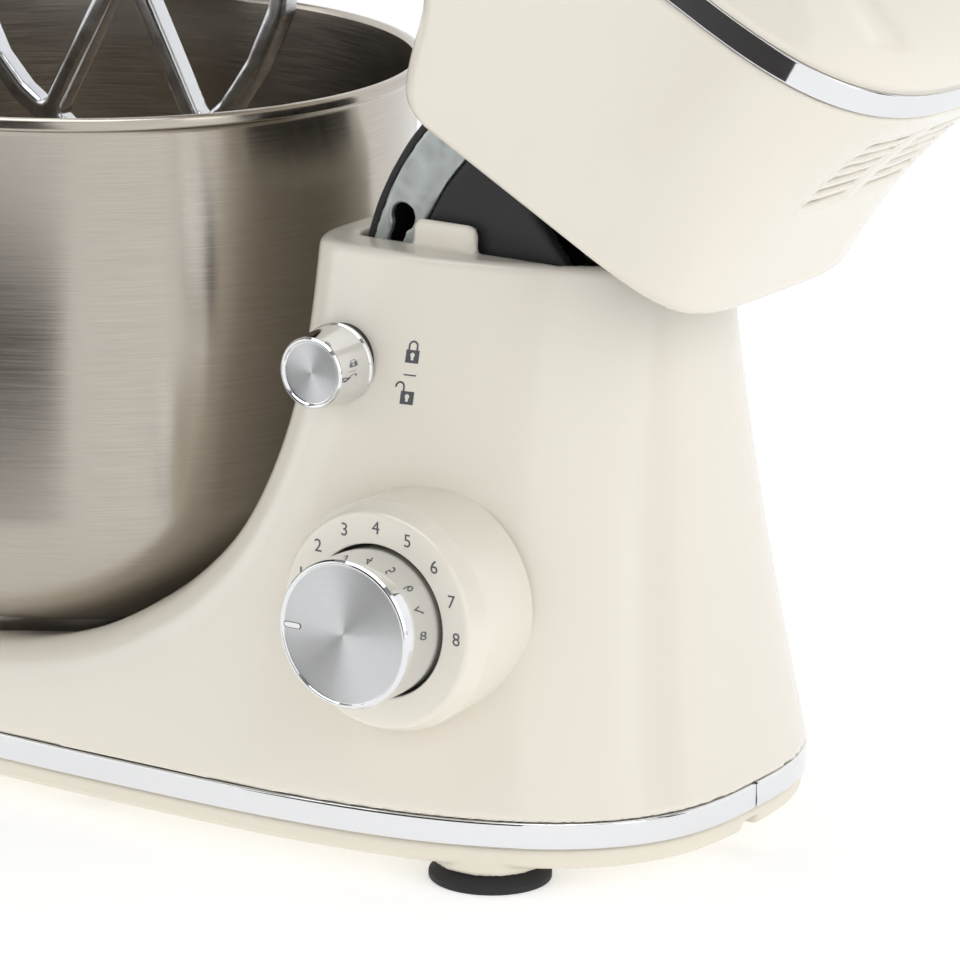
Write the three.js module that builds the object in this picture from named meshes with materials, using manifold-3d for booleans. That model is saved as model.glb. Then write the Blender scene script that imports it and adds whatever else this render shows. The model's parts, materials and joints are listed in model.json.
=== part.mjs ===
// A tilt-head planetary stand mixer with its head raised, in millimetres, +Z up.
// It is drawn with the bowl's axis at x = 0, y = 0 and the table at z = 0: the nose points
// along -X, the controls face -Y. The last lines move the origin to the middle of its bottom.
import * as THREE from 'three';
import { mergeVertices } from 'three/addons/utils/BufferGeometryUtils.js';
import Module from 'manifold-3d';

const wasm = await Module();
wasm.setup();

// ---- Driving dimensions -------------------------------------------------------------------
const GAP = 0.35;             // kept between pieces that rest on each other
const WALL = 3;               // moulded shells of the stand
const HEAD_WALL = 2.5;        // moulded shells of the head
const OUTLINE_POINTS = 28;    // corners of a lofted outline

const BASE = { bottom: 8, band: 15, shell: 23.5, rim: 184, front: -112, rear: 253, half: 92 };
const COLUMN = { centre: 150, rear: 238, half: 54, taper: 1.15 };
const DISH = { floor: 36, radius: 68, cornerCentre: [65, 95], cornerRadius: 47, wall: 112 };
const TOP_OPENING = { front: 131.6, rear: 229, half: 38.9 };

const HINGE = { x: 225, z: 160, pin: 3.5 };
const TILT = 28.8;            // degrees between the lowered and the raised head
const SKIRT = { radius: 92.3, half: 38, top: 197, low: -44, high: 22.7 };
const SECTOR = { inner: 74.7, outer: 89.5, slot: 82.3, low: -42, high: 19 };
const LOCK = { angle: -6.6, shaft: 4, flat: 2.1, knob: 10.6, face: 79, seat: 60.6, key: 4.3 };

const DIAL = { x: 176.9, z: 83.9, face: 111, radius: 22.4, bore: 23.2, collar: 33.3, collarFace: 93.7 };
const FEET = [[197, 61], [197, -61], [-55, 58], [-55, -58]];
const FOOT_RADIUS = 18.5;

const BOWL = { radius: 107.5, rim: 219, bead: 110, corner: 42.5, foot: 63.4, floor: 52.6, sheet: 1 };
const LUGS = 3;

const HEAD = { low: 186, band: 272.6, cover: 281, top: 325, front: -88, rear: 267, half: 66.2 };
const CARRIER = { radius: 46, low: 208, high: 238 };
const PLANET = { x: -13.8, y: 28.9 };
const DECK = { low: 250, high: 254 };     // front deck of the chassis, over the planet gear
const FLOOR = { low: 203.3, high: 207 };  // rear floor of the chassis, under the motor
const LAYSHAFT_X = 60;
const MOTOR_X = 203;
const BELT = { z: 290.5, width: 9, drive: 8, driven: 42, thick: 2 };
const MODULE = 8 / 3;                     // gear module
const TEETH = { planet: 12, ring: 36, pinion: 9, main: 36 };
const BEATER = { bottom: 58, half: 60, top: 205, bar: 6.4, depth: 8 };

// ---- Geometry helpers ----------------------------------------------------------------------
const rad = THREE.MathUtils.degToRad;
const v2 = (x, y) => new THREE.Vector2(x, y);
const v3 = (x, y, z) => new THREE.Vector3(x, y, z);

/** A closed geometry as an indexed mesh of positions only, with its faces pointing out. */
function plainMesh(geometry) {
  const bare = new THREE.BufferGeometry();
  bare.setAttribute('position', geometry.getAttribute('position'));
  if (geometry.index) bare.setIndex(geometry.index);
  const merged = mergeVertices(bare, 1e-4);
  const points = Float32Array.from(merged.getAttribute('position').array);
  const source = merged.index.array;
  const index = [];
  let volume = 0;
  const corner = (i) => v3().fromArray(points, 3 * i);
  for (let i = 0; i < source.length; i += 3) {
    const [a, b, c] = [source[i], source[i + 1], source[i + 2]];
    if (a === b || b === c || c === a) continue;
    index.push(a, b, c);
    volume += corner(a).dot(corner(b).cross(corner(c)));
  }
  return { points, index: Uint32Array.from(volume < 0 ? index.reverse() : index) };
}

function toSolid(geometry) {
  const { points, index } = plainMesh(geometry);
  return new wasm.Manifold(new wasm.Mesh({ numProp: 3, vertProperties: points, triVerts: index }));
}

function fromSolid(solid) {
  const mesh = solid.getMesh();
  const geometry = new THREE.BufferGeometry();
  geometry.setAttribute('position', new THREE.BufferAttribute(mesh.vertProperties.slice(), 3));
  geometry.setIndex(new THREE.BufferAttribute(mesh.triVerts.slice(), 1));
  return geometry;
}

const combine = (how) => (first, ...others) =>
  fromSolid(others.flat().reduce((sum, next) => sum[how](toSolid(next)), toSolid(first)));
const join = combine('add');
const cut = combine('subtract');
const common = combine('intersect');

function box(x0, x1, y0, y1, z0, z1) {
  const geometry = new THREE.BoxGeometry(x1 - x0, y1 - y0, z1 - z0);
  return geometry.translate((x0 + x1) / 2, (y0 + y1) / 2, (z0 + z1) / 2);
}

/** A round rod between two points. */
function rod(from, to, radius, segments = 20) {
  const [a, b] = [v3(...from), v3(...to)];
  const span = b.clone().sub(a);
  const geometry = new THREE.CylinderGeometry(radius, radius, span.length(), segments);
  const turn = new THREE.Quaternion().setFromUnitVectors(v3(0, 1, 0), span.normalize());
  geometry.applyQuaternion(turn);
  return geometry.translate(...a.add(b).multiplyScalar(0.5).toArray());
}

/** A profile of [radius, height] pairs turned about Z, then moved to x, y. */
function turned(profile, { x = 0, y = 0, segments = 32 } = {}) {
  const geometry = new THREE.LatheGeometry(profile.map((p) => v2(...p)), segments);
  return geometry.rotateX(Math.PI / 2).translate(x, y, 0);
}

function ring(inner, outer, z0, z1, place) {
  return turned([[inner, z0], [outer, z0], [outer, z1], [inner, z1], [inner, z0]], place);
}

/** A flat shape in X and Y, extruded from z0 to z1. */
function plate(shape, z0, z1, curveSegments = 12) {
  const settings = { depth: z1 - z0, bevelEnabled: false, curveSegments };
  return new THREE.ExtrudeGeometry(shape, settings).translate(0, 0, z0);
}

/** A flat shape in X and Z, extruded from y0 to y1. */
function slab(shape, y0, y1, curveSegments = 12) {
  const settings = { depth: y1 - y0, bevelEnabled: false, curveSegments };
  return new THREE.ExtrudeGeometry(shape, settings).rotateX(Math.PI / 2).translate(0, y1, 0);
}

const polygon = (points) => new THREE.Shape(points.map((p) => v2(...p)));

/** Horizontal rings of equal length, joined into one closed skin. */
function loft(rings) {
  const count = rings[0].length;
  const points = rings.flat();
  const index = [];
  for (let k = 0; k + 1 < rings.length; k++) {
    for (let i = 0; i < count; i++) {
      const [a, b] = [k * count + i, k * count + ((i + 1) % count)];
      index.push(a, b, b + count, a, b + count, a + count);
    }
  }
  const last = (rings.length - 1) * count;
  for (const [a, b, c] of THREE.ShapeUtils.triangulateShape(rings[0].map((p) => v2(p.x, p.y)), [])) {
    index.push(a, c, b);
  }
  for (const [a, b, c] of THREE.ShapeUtils.triangulateShape(rings.at(-1).map((p) => v2(p.x, p.y)), [])) {
    index.push(last + a, last + b, last + c);
  }
  const geometry = new THREE.BufferGeometry().setFromPoints(points);
  return geometry.setIndex(index);
}

/** A superellipse in plan whose front and rear halves have their own length and squareness. */
function outline({ centre, front, rear, half, frontPower, rearPower }, z, inset = 0) {
  const points = [];
  for (let i = 0; i < OUTLINE_POINTS; i++) {
    const angle = (2 * Math.PI * i) / OUTLINE_POINTS;
    const [c, s] = [Math.cos(angle), Math.sin(angle)];
    const power = c > 0 ? rearPower : frontPower;
    const reach = (c > 0 ? rear - centre : centre - front) - inset;
    const x = centre + Math.sign(c) * reach * Math.abs(c) ** (2 / power);
    const y = Math.sign(s) * (half - inset) * Math.abs(s) ** (2 / power);
    points.push(v3(x, y, z));
  }
  return points;
}

// ---- Stand: lofted shell, bottom cover, trim, feet -----------------------------------------
// The front edge of the stand in side view: deck, sweep and column, as [x, z] from low to high.
const FRONT_EDGE = new THREE.SplineCurve(
  [[20, 49], [40, 53.5], [63, 60], [80, 68.5], [93, 78], [105, 91], [114.6, 109.6], [120.6, 134],
    [122, 156], [120.7, 186]].map((p) => v2(...p)),
);

function standPlan(z, front) {
  const t = Math.max(0, (z - BASE.shell) / (BASE.rim - BASE.shell));
  return {
    centre: 90 + (COLUMN.centre - 90) * t,
    front,
    rear: COLUMN.rear + (BASE.rear - COLUMN.rear) * (1 - t) ** 2,
    half: BASE.half - (BASE.half - COLUMN.half) * t ** COLUMN.taper,
    frontPower: 2.8 + 0.7 * t,
    rearPower: 2.8 - 0.8 * t,
  };
}

/** The stand's outer skin, or with an inset the inside of its wall. */
function standSkin(inset) {
  const deck = [[BASE.shell, BASE.front], [38, BASE.front], [43, BASE.front + 3], [45.5, BASE.front + 12]];
  const rings = deck.map(([z, front]) => outline(standPlan(z, front), z - inset, inset));
  for (const point of FRONT_EDGE.getSpacedPoints(7)) {
    const slope = inset * Math.max(0, 1 - (point.y - 49) / 60);
    rings.push(outline(standPlan(point.y, point.x), point.y - slope, inset));
  }
  return loft(rings);
}

/** The bowl's outside, grown by the clearance that the stand keeps to it. */
function dishTool(grow) {
  const [cx, cz] = DISH.cornerCentre;
  const profile = [[0, DISH.floor - grow], [DISH.radius + grow, DISH.floor - grow]];
  for (let angle = -80; angle <= 0; angle += 16) {
    const r = DISH.cornerRadius + grow;
    profile.push([cx + r * Math.cos(rad(angle)), cz + r * Math.sin(rad(angle))]);
  }
  profile.push([DISH.wall + grow, 240], [0, 240]);
  return turned(profile, { segments: 28 });
}

const lockPoint = { x: HINGE.x - SECTOR.slot * Math.cos(rad(LOCK.angle)),
  z: HINGE.z + SECTOR.slot * Math.sin(rad(LOCK.angle)) };

// The cord inlet is on the far rear corner; this is a point so far outside the skin on its axis.
const inletPoint = (out) => [215 + 0.474 * out, 71.4 + 0.88 * out, 36];

function standHousing() {
  const cavity = cut(standSkin(WALL), dishTool(WALL));
  const below = box(-200, 300, -150, 150, BASE.shell - 20, BASE.shell);
  const top = TOP_OPENING;
  const topDeck = box(100, 260, -80, 80, BASE.rim - WALL, BASE.rim + 1);
  const opening = box(top.front, top.rear, -top.half, top.half, BASE.rim - 10, BASE.rim + 10);
  const rearOpening = common(opening, standSkin(WALL));
  const above = box(-200, 300, -150, 150, BASE.rim, BASE.rim + 40);
  const shell = cut(standSkin(0), dishTool(0), cut(cavity, topDeck), above, rearOpening, below);
  const tabs = [-1, 1].map((side) => box(154.5, 176.8, ...[39, 41.4].map((y) => y * side)
    .sort((a, b) => a - b), BASE.rim - 2, 192));
  const holes = [
    rod([DIAL.x, -60, DIAL.z], [DIAL.x, -100, DIAL.z], 6),
    rod([lockPoint.x, -50, lockPoint.z], [lockPoint.x, -80, lockPoint.z], 8),
    rod(inletPoint(-20), inletPoint(20), 5.5),
    rod([0, 0, 20], [0, 0, 60], 9),
  ];
  return cut(join(shell, tabs), holes);
}

const bandPlan = { centre: 90, front: BASE.front, rear: BASE.rear, half: BASE.half, frontPower: 2.8,
  rearPower: 2.8 };

function bottomCover() {
  const lip = loft([outline(bandPlan, BASE.bottom, 4.5), outline(bandPlan, BASE.bottom + 2.5, 2.2),
    outline(bandPlan, BASE.band - GAP, 1.4)]);
  const upstand = loft([outline(bandPlan, BASE.band - 2, 4.2), outline(bandPlan, BASE.shell - GAP, 4.2)]);
  const inside = loft([outline(bandPlan, BASE.bottom + WALL, 6.5), outline(bandPlan, 40, 6.5)]);
  const bosses = FEET.map(([x, y]) => rod([x, y, 5.6], [x, y, BASE.bottom + 1], FOOT_RADIUS - 1.5, 14));
  const stems = FEET.map(([x, y]) => rod([x, y, 0], [x, y, 20], 5.4, 8));
  const posts = screwPlaces.map(([x, y]) => rod([x, y, BASE.bottom + 1], [x, y, 20], 5, 8));
  const bores = screwPlaces.map(([x, y]) => rod([x, y, 0], [x, y, 30], 2.3, 6));
  const heads = screwPlaces.map(([x, y]) => rod([x, y, 0], [x, y, 12], 4, 8));
  return cut(join(cut(join(lip, upstand), inside), bosses, posts), stems, bores, heads);
}

const screwPlaces = [[-78, 0], [60, 70], [60, -70], [222, 0]];

/** Half of the polished band around the base: side is -1 for the controls' side. */
function trimBand(side) {
  const whole = cut(
    loft([outline(bandPlan, BASE.band, 0), outline(bandPlan, BASE.shell - GAP, 0)]),
    loft([outline(bandPlan, BASE.band - 1, 3.8), outline(bandPlan, BASE.shell + 1, 3.8)]),
  );
  const other = side < 0 ? [-0.25, 150] : [-150, 0.25];
  return cut(whole, box(-200, 300, ...other, 0, 50));
}

function suctionFoot([x, y]) {
  return turned([[0, 2], [9, 2], [15.5, 0], [FOOT_RADIUS, 0], [FOOT_RADIUS, 2.2], [15, 5.2], [5, 5.2],
    [5, 13.4], [0, 13.4]], { x, y, segments: 14 });
}

function coverScrew([x, y]) {
  return turned([[0, 9.5], [3.6, 9.5], [3.6, 11.7], [1.9, 11.7], [1.9, 22], [0, 22]], { x, y, segments: 8 });
}

/** The steel plate in the dish: the bowl's foot stands on it and turns under its three clips. */
function bowlPlate() {
  const low = DISH.floor + GAP;
  const disc = turned([[8, low], [67.4, low], [67.4, 39.4], [64.1, 39.4], [64.1, 40], [8, 40], [8, low]],
    { segments: 28 });
  const clips = [];
  for (let k = 0; k < LUGS; k++) {
    const turn = (2 * Math.PI * k) / LUGS;
    const post = box(66.2, 67.4, -9, 9, 39, 46).rotateZ(turn);
    const lip = box(64.4, 67.4, -9, 9, 44.8, 46).rotateZ(turn);
    clips.push(post, lip);
  }
  return join(disc, clips);
}

// ---- Controls -------------------------------------------------------------------------------
function dialCollar() {
  const seat = 60;
  const body = ring(DIAL.bore, DIAL.collar + 1.6, seat, DIAL.collarFace - 6, { segments: 24 });
  const nose = turned([[DIAL.bore, DIAL.collarFace - 7], [DIAL.collar + 1.6, DIAL.collarFace - 7],
    [DIAL.collar + 0.6, DIAL.collarFace - 1.5], [DIAL.collar - 0.9, DIAL.collarFace],
    [DIAL.bore, DIAL.collarFace], [DIAL.bore, DIAL.collarFace - 7]], { segments: 24 });
  const tube = join(body, nose, ring(7, DIAL.bore + 1, 84, 87, { segments: 24 }));
  const placed = tube.rotateX(Math.PI / 2).translate(DIAL.x, 0, DIAL.z);
  return cut(placed, grownStand(GAP));
}

/** The stand's outer skin, a little larger, to trim what lies on it. */
function grownStand(by) {
  return common(standSkin(-by), box(-200, 300, -150, 150, BASE.shell, BASE.rim + 20));
}

function speedDial() {
  const edge = DIAL.face - 1.4;
  return turned([[0, 88.5], [DIAL.radius, 88.5], [DIAL.radius, edge], [DIAL.radius - 1, DIAL.face],
    [DIAL.radius - 2, DIAL.face], [DIAL.radius - 2.6, DIAL.face - 0.5], [0, DIAL.face - 0.5]],
  { segments: 28 }).rotateX(Math.PI / 2).translate(DIAL.x, 0, DIAL.z);
}

function lockKnob() {
  const { knob, face, seat } = LOCK;
  return turned([[0, seat + 5.4], [knob + 0.8, seat + 5.4], [knob, face - 1.5], [knob - 1.2, face],
    [0, face]], { segments: 32 }).rotateX(Math.PI / 2).translate(lockPoint.x, 0, lockPoint.z);
}

/** The lock shaft: round, with two flats that let the sector's narrow slot pass it. */
function lockShaft() {
  const { x, z } = lockPoint;
  const round = rod([x, -(LOCK.seat + 5), z], [x, 44, z], LOCK.shaft, 24);
  const flats = [-1, 1].map((side) => {
    const tool = box(LOCK.flat, LOCK.flat + 5, -46, 43, -6, 6);
    if (side < 0) tool.rotateZ(Math.PI);
    return tool.rotateY(rad(LOCK.angle)).translate(x, 0, z);
  });
  return cut(round, flats.map((tool) => common(tool, box(0, 300, -42, 42.5, 0, 300))));
}

// ---- Hinge ----------------------------------------------------------------------------------
/** The steel bracket that stands in the column: two cheeks on a foot carry the hinge pin. */
function hingeBracket() {
  const shape = polygon([[200, 57], [232, 57], [230.4, 158], [229, 164], [225, 165.5], [220, 164],
    [206, 110]]);
  const cheeks = [slab(shape, -17.6, -14.2), slab(shape, 14.2, 17.6)];
  const foot = box(188, 236, -30, 30, 55.5, 59.6);
  const post = box(196, 228, -22, 22, 27, 56);
  const bore = rod([HINGE.x, -30, HINGE.z], [HINGE.x, 30, HINGE.z], HINGE.pin + GAP);
  return cut(join(foot, post, cheeks), bore);
}

function hingePin() {
  return rod([HINGE.x, -19.5, HINGE.z], [HINGE.x, 19.5, HINGE.z], HINGE.pin, 24);
}

function tiltArm(side) {
  const shape = polygon([[225, 165.5], [219.6, 164], [213, 178], [209, 186], [207, 203], [160, 203],
    [160, 198], [205, 150], [219.5, 155.4], [225, 154.5], [229.6, 157], [230.4, 161], [229, 164]]);
  const [y0, y1] = side < 0 ? [-13.8, -10.4] : [10.4, 13.8];
  return cut(slab(shape, y0, y1), rod([HINGE.x, -30, HINGE.z], [HINGE.x, 30, HINGE.z], HINGE.pin + GAP));
}

/** A point on a circle about the hinge, with its angle measured up from the -X direction. */
const aboutHinge = (radius, degrees) => [HINGE.x - radius * Math.cos(rad(degrees)),
  HINGE.z + radius * Math.sin(rad(degrees))];

function arcPoints(radius, from, to, steps) {
  return Array.from({ length: steps + 1 }, (_, i) => aboutHinge(radius, from + ((to - from) * i) / steps));
}

/** The black skirt under the head that closes the column's top at every tilt. */
function hingeSkirt() {
  const { radius, half, top, low, high } = SKIRT;
  const rear = [[203, top - 1.5], [195.5, 170], [194, 140], [178, 104]];
  const cheek = polygon([...arcPoints(radius, low, high, 12), ...rear]);
  const inner = polygon([...arcPoints(radius - 2.2, low - 4, high + 10, 12), [214, top + 10], [196, 90]]);
  const drum = cut(slab(cheek, -half, half), slab(inner, -half + 4.4, half - 4.4));
  const recesses = [-1, 1].map((side) => sectorBlank(side, 0.3));
  const lid = common(
    loft([top - 3, top].map((z) => outline(headPlan(z), z, HEAD_WALL + 1.6))),
    box(142, 260, -80, 80, 100, 300),
  );
  const track = slab(slotTrack(5), -60, 60);
  const armSlots = [-12.1, 12.1].map((y) => box(150, 212, y - 2.2, y + 2.2, top - 8, top + 8));
  return cut(join(drum, lid), recesses, armSlots, track);
}

function sectorBlank(side, grow) {
  const { inner, outer, low, high } = SECTOR;
  const shape = polygon([...arcPoints(outer + grow, low - grow, high + 30 * grow, 10),
    ...arcPoints(inner - grow, high + 30 * grow, low - grow, 10)]);
  const [near, far] = [SKIRT.half - 2.2 - grow, SKIRT.half + 0.2 + 10 * grow];
  return side < 0 ? slab(shape, -far, -near) : slab(shape, near, far);
}

/** The path of the lock shaft through the tilting pieces, as wide as twice the reach given. */
function slotTrack(reach) {
  const [from, to] = [LOCK.angle, LOCK.angle - TILT];
  const spare = reach > LOCK.key ? 4.5 : 0;
  return polygon([...arcPoints(SECTOR.slot + reach, from + spare, to - spare, 8),
    ...arcPoints(SECTOR.slot - reach, to - spare, from + spare, 8)]);
}

/** The steel lock plate: a slot about the hinge with a round seat at each end of the tilt. */
function lockSector(side) {
  const holes = [LOCK.angle, LOCK.angle - TILT].map((angle) => {
    const [x, z] = aboutHinge(SECTOR.slot, angle);
    return rod([x, -60, z], [x, 60, z], LOCK.key, 14);
  });
  return cut(sectorBlank(side, 0), slab(slotTrack(LOCK.flat + 0.5), -60, 60), holes);
}

// ---- Head: shells and trim -------------------------------------------------------------------
function headPlan(z) {
  const t = Math.max(0, (z - HEAD.low) / (HEAD.band - HEAD.low));
  const rise = Math.min(1, Math.max(0, (HEAD.band - z) / 36));
  return { centre: 205, front: HEAD.front + 18 * rise ** 2, rear: HEAD.rear - 20 * (1 - t ** 2.2),
    half: HEAD.half - 12.2 * (1 - t ** 0.9), frontPower: 3.8, rearPower: 4 - t };
}

/** Everything above the jaw and the nose's underside, in side view. */
function headSide(inset) {
  const jaw = new THREE.SplineCurve([[133.2, 186], [130.4, 189.7], [128.5, 194.5], [126.8, 203], [125, 216],
    [118, 231], [104, 237.5]].map((p) => v2(...p)));
  const path = jaw.getPoints(10).map((p) => [p.x + inset, p.y + inset * (p.x < 127 ? 1 : 0)]);
  const rear = [[300, HEAD.low], [300, 340], [-150, 340], [-150, 237.5 + inset]];
  return slab(polygon([...path, ...rear.reverse()]), -100, 100);
}

function headLowerShell() {
  const levels = [186, 189, 196, 210, 225, 240, 256, HEAD.band];
  const bevel = (z) => (z < 189 ? 2.4 : 0);
  const outer = common(loft(levels.map((z) => outline(headPlan(z), z, bevel(z)))), headSide(0));
  const inner = common(loft([160, ...levels, 290].map((z) => outline(headPlan(z), z, HEAD_WALL))),
    headSide(HEAD_WALL));
  const mouth = rod([0, 0, 225], [0, 0, 245], CARRIER.radius + 3, 40);
  return cut(outer, inner, mouth, ventSlots());
}

/** Six cooling slots on each side of the back of the lower shell. */
function ventSlots() {
  const slots = [];
  for (const middle of [-17, 17]) {
    for (let k = 0; k < 6; k++) {
      const height = 230.5 + 5.3 * k;
      slots.push(box(240, 275, middle - 11, middle + 11, height - 0.9, height + 0.9));
    }
  }
  return slots;
}

function headTrim() {
  const plan = headPlan(HEAD.band);
  return cut(
    loft([outline(plan, HEAD.band + GAP), outline(plan, HEAD.cover - GAP)]),
    loft([outline(plan, HEAD.band - 3, 3), outline(plan, HEAD.cover + 3, 3)]),
  );
}

function domeRing(level, inset) {
  const shrink = (1 - level ** 2.5) ** 0.4;
  const [front, rear] = [100 - 188 * shrink, 100 + 167 * shrink];
  const plan = { centre: 100 + 105 * shrink, front, rear, half: HEAD.half * shrink, frontPower: 3.8,
    rearPower: 3 };
  return outline(plan, HEAD.cover + (HEAD.top - HEAD.cover - inset) * level, inset * shrink);
}

function headUpperShell() {
  const levels = [0, 0.25, 0.45, 0.62, 0.76, 0.87, 0.94, 0.98];
  const inner = levels.map((level) => domeRing(level, HEAD_WALL));
  inner.unshift(inner[0].map((p) => v3(p.x, p.y, HEAD.cover - 5)));
  return cut(loft(levels.map((level) => domeRing(level, 0))), loft(inner));
}

// ---- Head: drive -----------------------------------------------------------------------------
/** Points of a spur gear: tooth tips reach out by one way, or inwards for a ring gear. */
function gearPoints(teeth, inward = false) {
  const pitch = (MODULE * teeth) / 2;
  const sign = inward ? -1 : 1;
  const [tip, root] = [pitch + sign * 0.7 * MODULE, pitch - sign * 0.95 * MODULE];
  const points = [];
  for (let k = 0; k < teeth; k++) {
    for (const [share, radius] of [[-0.27, root], [-0.1, tip], [0.1, tip], [0.27, root]]) {
      const angle = (2 * Math.PI * (k + share)) / teeth;
      points.push([radius * Math.cos(angle), radius * Math.sin(angle)]);
    }
  }
  return points;
}

function spurGear(teeth, bore, z0, z1, x, y, turn) {
  const shape = polygon(gearPoints(teeth));
  const hole = new THREE.Path().absarc(0, 0, bore, 0, 2 * Math.PI, true);
  shape.holes.push(hole);
  return plate(shape, z0, z1).rotateZ(turn).translate(x, y, 0);
}

function ringGear() {
  const shape = new THREE.Shape().absarc(0, 0, 52, 0, 2 * Math.PI, false);
  shape.holes.push(new THREE.Path(gearPoints(TEETH.ring, true).map((p) => v2(...p))));
  return plate(shape, 240.4, 249.6, 16);
}

function chassis() {
  const profile = polygon([[-56, DECK.low], [146, DECK.low], [146, FLOOR.low], [246, FLOOR.low],
    [246, FLOOR.high], [150, FLOOR.high], [150, DECK.high], [-56, DECK.high]]);
  const body = common(slab(profile, -70, 70),
    loft([outline(headPlan(200), 190, HEAD_WALL + 1.2), outline(headPlan(240), 300, HEAD_WALL + 1.2)]));
  const ribs = [-34, 34].map((y) => slab(polygon([[118, DECK.low + 1], [147, DECK.low + 1], [147, 210],
    [141, 210]]), y - 2, y + 2));
  const holes = [rod([0, 0, 240], [0, 0, 260], 12), rod([LAYSHAFT_X, 0, 240], [LAYSHAFT_X, 0, 260], 8),
    rod([MOTOR_X, 0, 200], [MOTOR_X, 0, 210], 9)];
  return cut(join(body, ribs), holes);
}

/** The layshaft, with its pinion cut in one piece. */
function layshaft() {
  const pinion = spurGear(TEETH.pinion, 2, 258.5, 267.5, LAYSHAFT_X, 0,
    Math.PI * (1 - 1 / TEETH.pinion));
  return join(rod([LAYSHAFT_X, 0, 249], [LAYSHAFT_X, 0, 299], 4, 20), pinion);
}

function gearboxCover() {
  const shape = new THREE.Shape().absarc(0, 0, 57, Math.PI / 2, 1.5 * Math.PI, false)
    .lineTo(96, -57).lineTo(96, 57).closePath();
  const lid = common(plate(shape, 271.6, 274.4, 16), loft([outline(headPlan(240), 200, 6),
    outline(headPlan(240), 300, 6)]));
  const posts = [[88, 38], [88, -38]].map(([x, y]) => rod([x, y, DECK.high + GAP], [x, y, 272.5], 4, 14));
  const holes = [[0, 7.4], [LAYSHAFT_X, 5.4]].map(([x, r]) => rod([x, 0, 260], [x, 0, 280], r));
  return cut(join(lid, posts), holes);
}

function bearing(x, inner, outer, z0, z1) {
  return ring(inner, outer, z0, z1, { x, segments: 16 });
}

function driveBelt() {
  const loop = (grow) => {
    const [a, b] = [BELT.driven + grow, BELT.drive + grow];
    const lean = Math.acos((a - b) / (MOTOR_X - LAYSHAFT_X));
    const shape = new THREE.Shape();
    shape.absarc(LAYSHAFT_X, 0, a, lean, 2 * Math.PI - lean, false);
    shape.absarc(MOTOR_X, 0, b, -lean, lean, false);
    return plate(shape, BELT.z + 0.8, BELT.z + BELT.width - 0.8, 10);
  };
  return cut(loop(GAP + BELT.thick), loop(GAP).scale(1, 1, 1.4).translate(0, 0, -0.4 * BELT.z - 1));
}

function beltPulley(x, radius, hub, bore) {
  const { z, width } = BELT;
  return turned([[bore, z - 3], [hub, z - 3], [hub, z], [radius + 1.6, z], [radius + 1.6, z + 0.5],
    [radius, z + 0.5], [radius, z + width - 0.5], [radius + 1.6, z + width - 0.5],
    [radius + 1.6, z + width], [bore, z + width], [bore, z - 3]],
  { x, segments: radius > 20 ? 22 : 12 });
}

function motorField() {
  const shape = new THREE.Shape().absarc(0, 0, 34, 0, 2 * Math.PI, false);
  shape.holes.push(new THREE.Path().absarc(0, 0, 22.5, 0, 2 * Math.PI, true));
  const square = box(-31, 31, -27, 27, 226, 262);
  return common(plate(shape, 226, 262, 16), square).translate(MOTOR_X, 0, 0);
}

function fieldCoil(side) {
  const shape = new THREE.Shape().absarc(0, 0, 33, rad(-48), rad(48), false)
    .absarc(0, 0, 24.5, rad(48), rad(-48), true);
  const coil = plate(shape, 262 + GAP, 268, 8);
  return coil.rotateZ((side * Math.PI) / 2).translate(MOTOR_X, 0, 0);
}

/** A motor end bracket: a bridge with four legs and a bearing bore. */
function motorBracket(low) {
  const [z0, z1] = low ? [FLOOR.high + GAP, 211] : [283, 286];
  const [leg0, leg1] = low ? [210, 226 - GAP] : [262 + GAP, 284];
  const bridge = box(-31, 31, -14, 14, z0, z1);
  const legs = [-1, 1].map((side) => box(side * 29.5 - 2, side * 29.5 + 2, -12, 12, leg0, leg1));
  const boss = rod([0, 0, z0], [0, 0, z0 + (low ? 7 : 4)], 11, 24);
  return cut(join(bridge, legs, boss), rod([0, 0, 190], [0, 0, 300], 8.4, 24)).translate(MOTOR_X, 0, 0);
}

function brush(side) {
  const [y0, y1] = side < 0 ? [-24, -12.4] : [12.4, 24];
  return box(MOTOR_X - 3, MOTOR_X + 3, y0, y1, 271, 278);
}

function rotorCore() {
  return spurGear(12, 3.7, 227, 261, 0, 0, 0).scale(1.18, 1.18, 1).translate(MOTOR_X, 0, 0);
}

function coolingFan() {
  const blades = [];
  for (let k = 0; k < 6; k++) blades.push(box(7, 24, -0.8, 0.8, 218, 224).rotateZ((k * Math.PI) / 3));
  const hub = ring(4 + GAP, 8, 215.4, 224, { segments: 14 });
  const disc = ring(7, 25, 215.4, 218.5, { segments: 18 });
  return join(hub, disc, blades).translate(MOTOR_X, 0, 0);
}

function carrierHub() {
  const { radius, low, high } = CARRIER;
  const body = turned([[0, low], [radius - 6, low], [radius - 1.5, low + 3], [radius, low + 8],
    [radius, high], [0, high]], { segments: 28 });
  const bore = rod([PLANET.x, PLANET.y, 190], [PLANET.x, PLANET.y, 260], 5 + GAP, 16);
  const pocket = cut(rod([0, 0, low + 5], [0, 0, 260], radius - 4, 28),
    rod([0, 0, 200], [0, 0, 270], 12, 16), rod([PLANET.x, PLANET.y, 200], [PLANET.x, PLANET.y, 270], 9, 14));
  return cut(body, bore, pocket, rod([0, 0, high - 8], [0, 0, 260], 7 + GAP, 16));
}

function carrierShaft() {
  const { high } = CARRIER;
  return turned([[0, high - 7.6], [7, high - 7.6], [7, 270.8], [0, 270.8]], { segments: 24 });
}

/** The beater's spindle, with the drive pin's cross bore near its lower end. */
function beaterSpindle() {
  const spindle = turned([[0, 186], [4, 186], [4, 207], [5, 207], [5, 248.6], [0, 248.6]],
    { ...PLANET, segments: 20 });
  return cut(spindle, rod([PLANET.x - 20, PLANET.y, 195], [PLANET.x + 20, PLANET.y, 195], 1.5 + GAP, 12));
}

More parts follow.
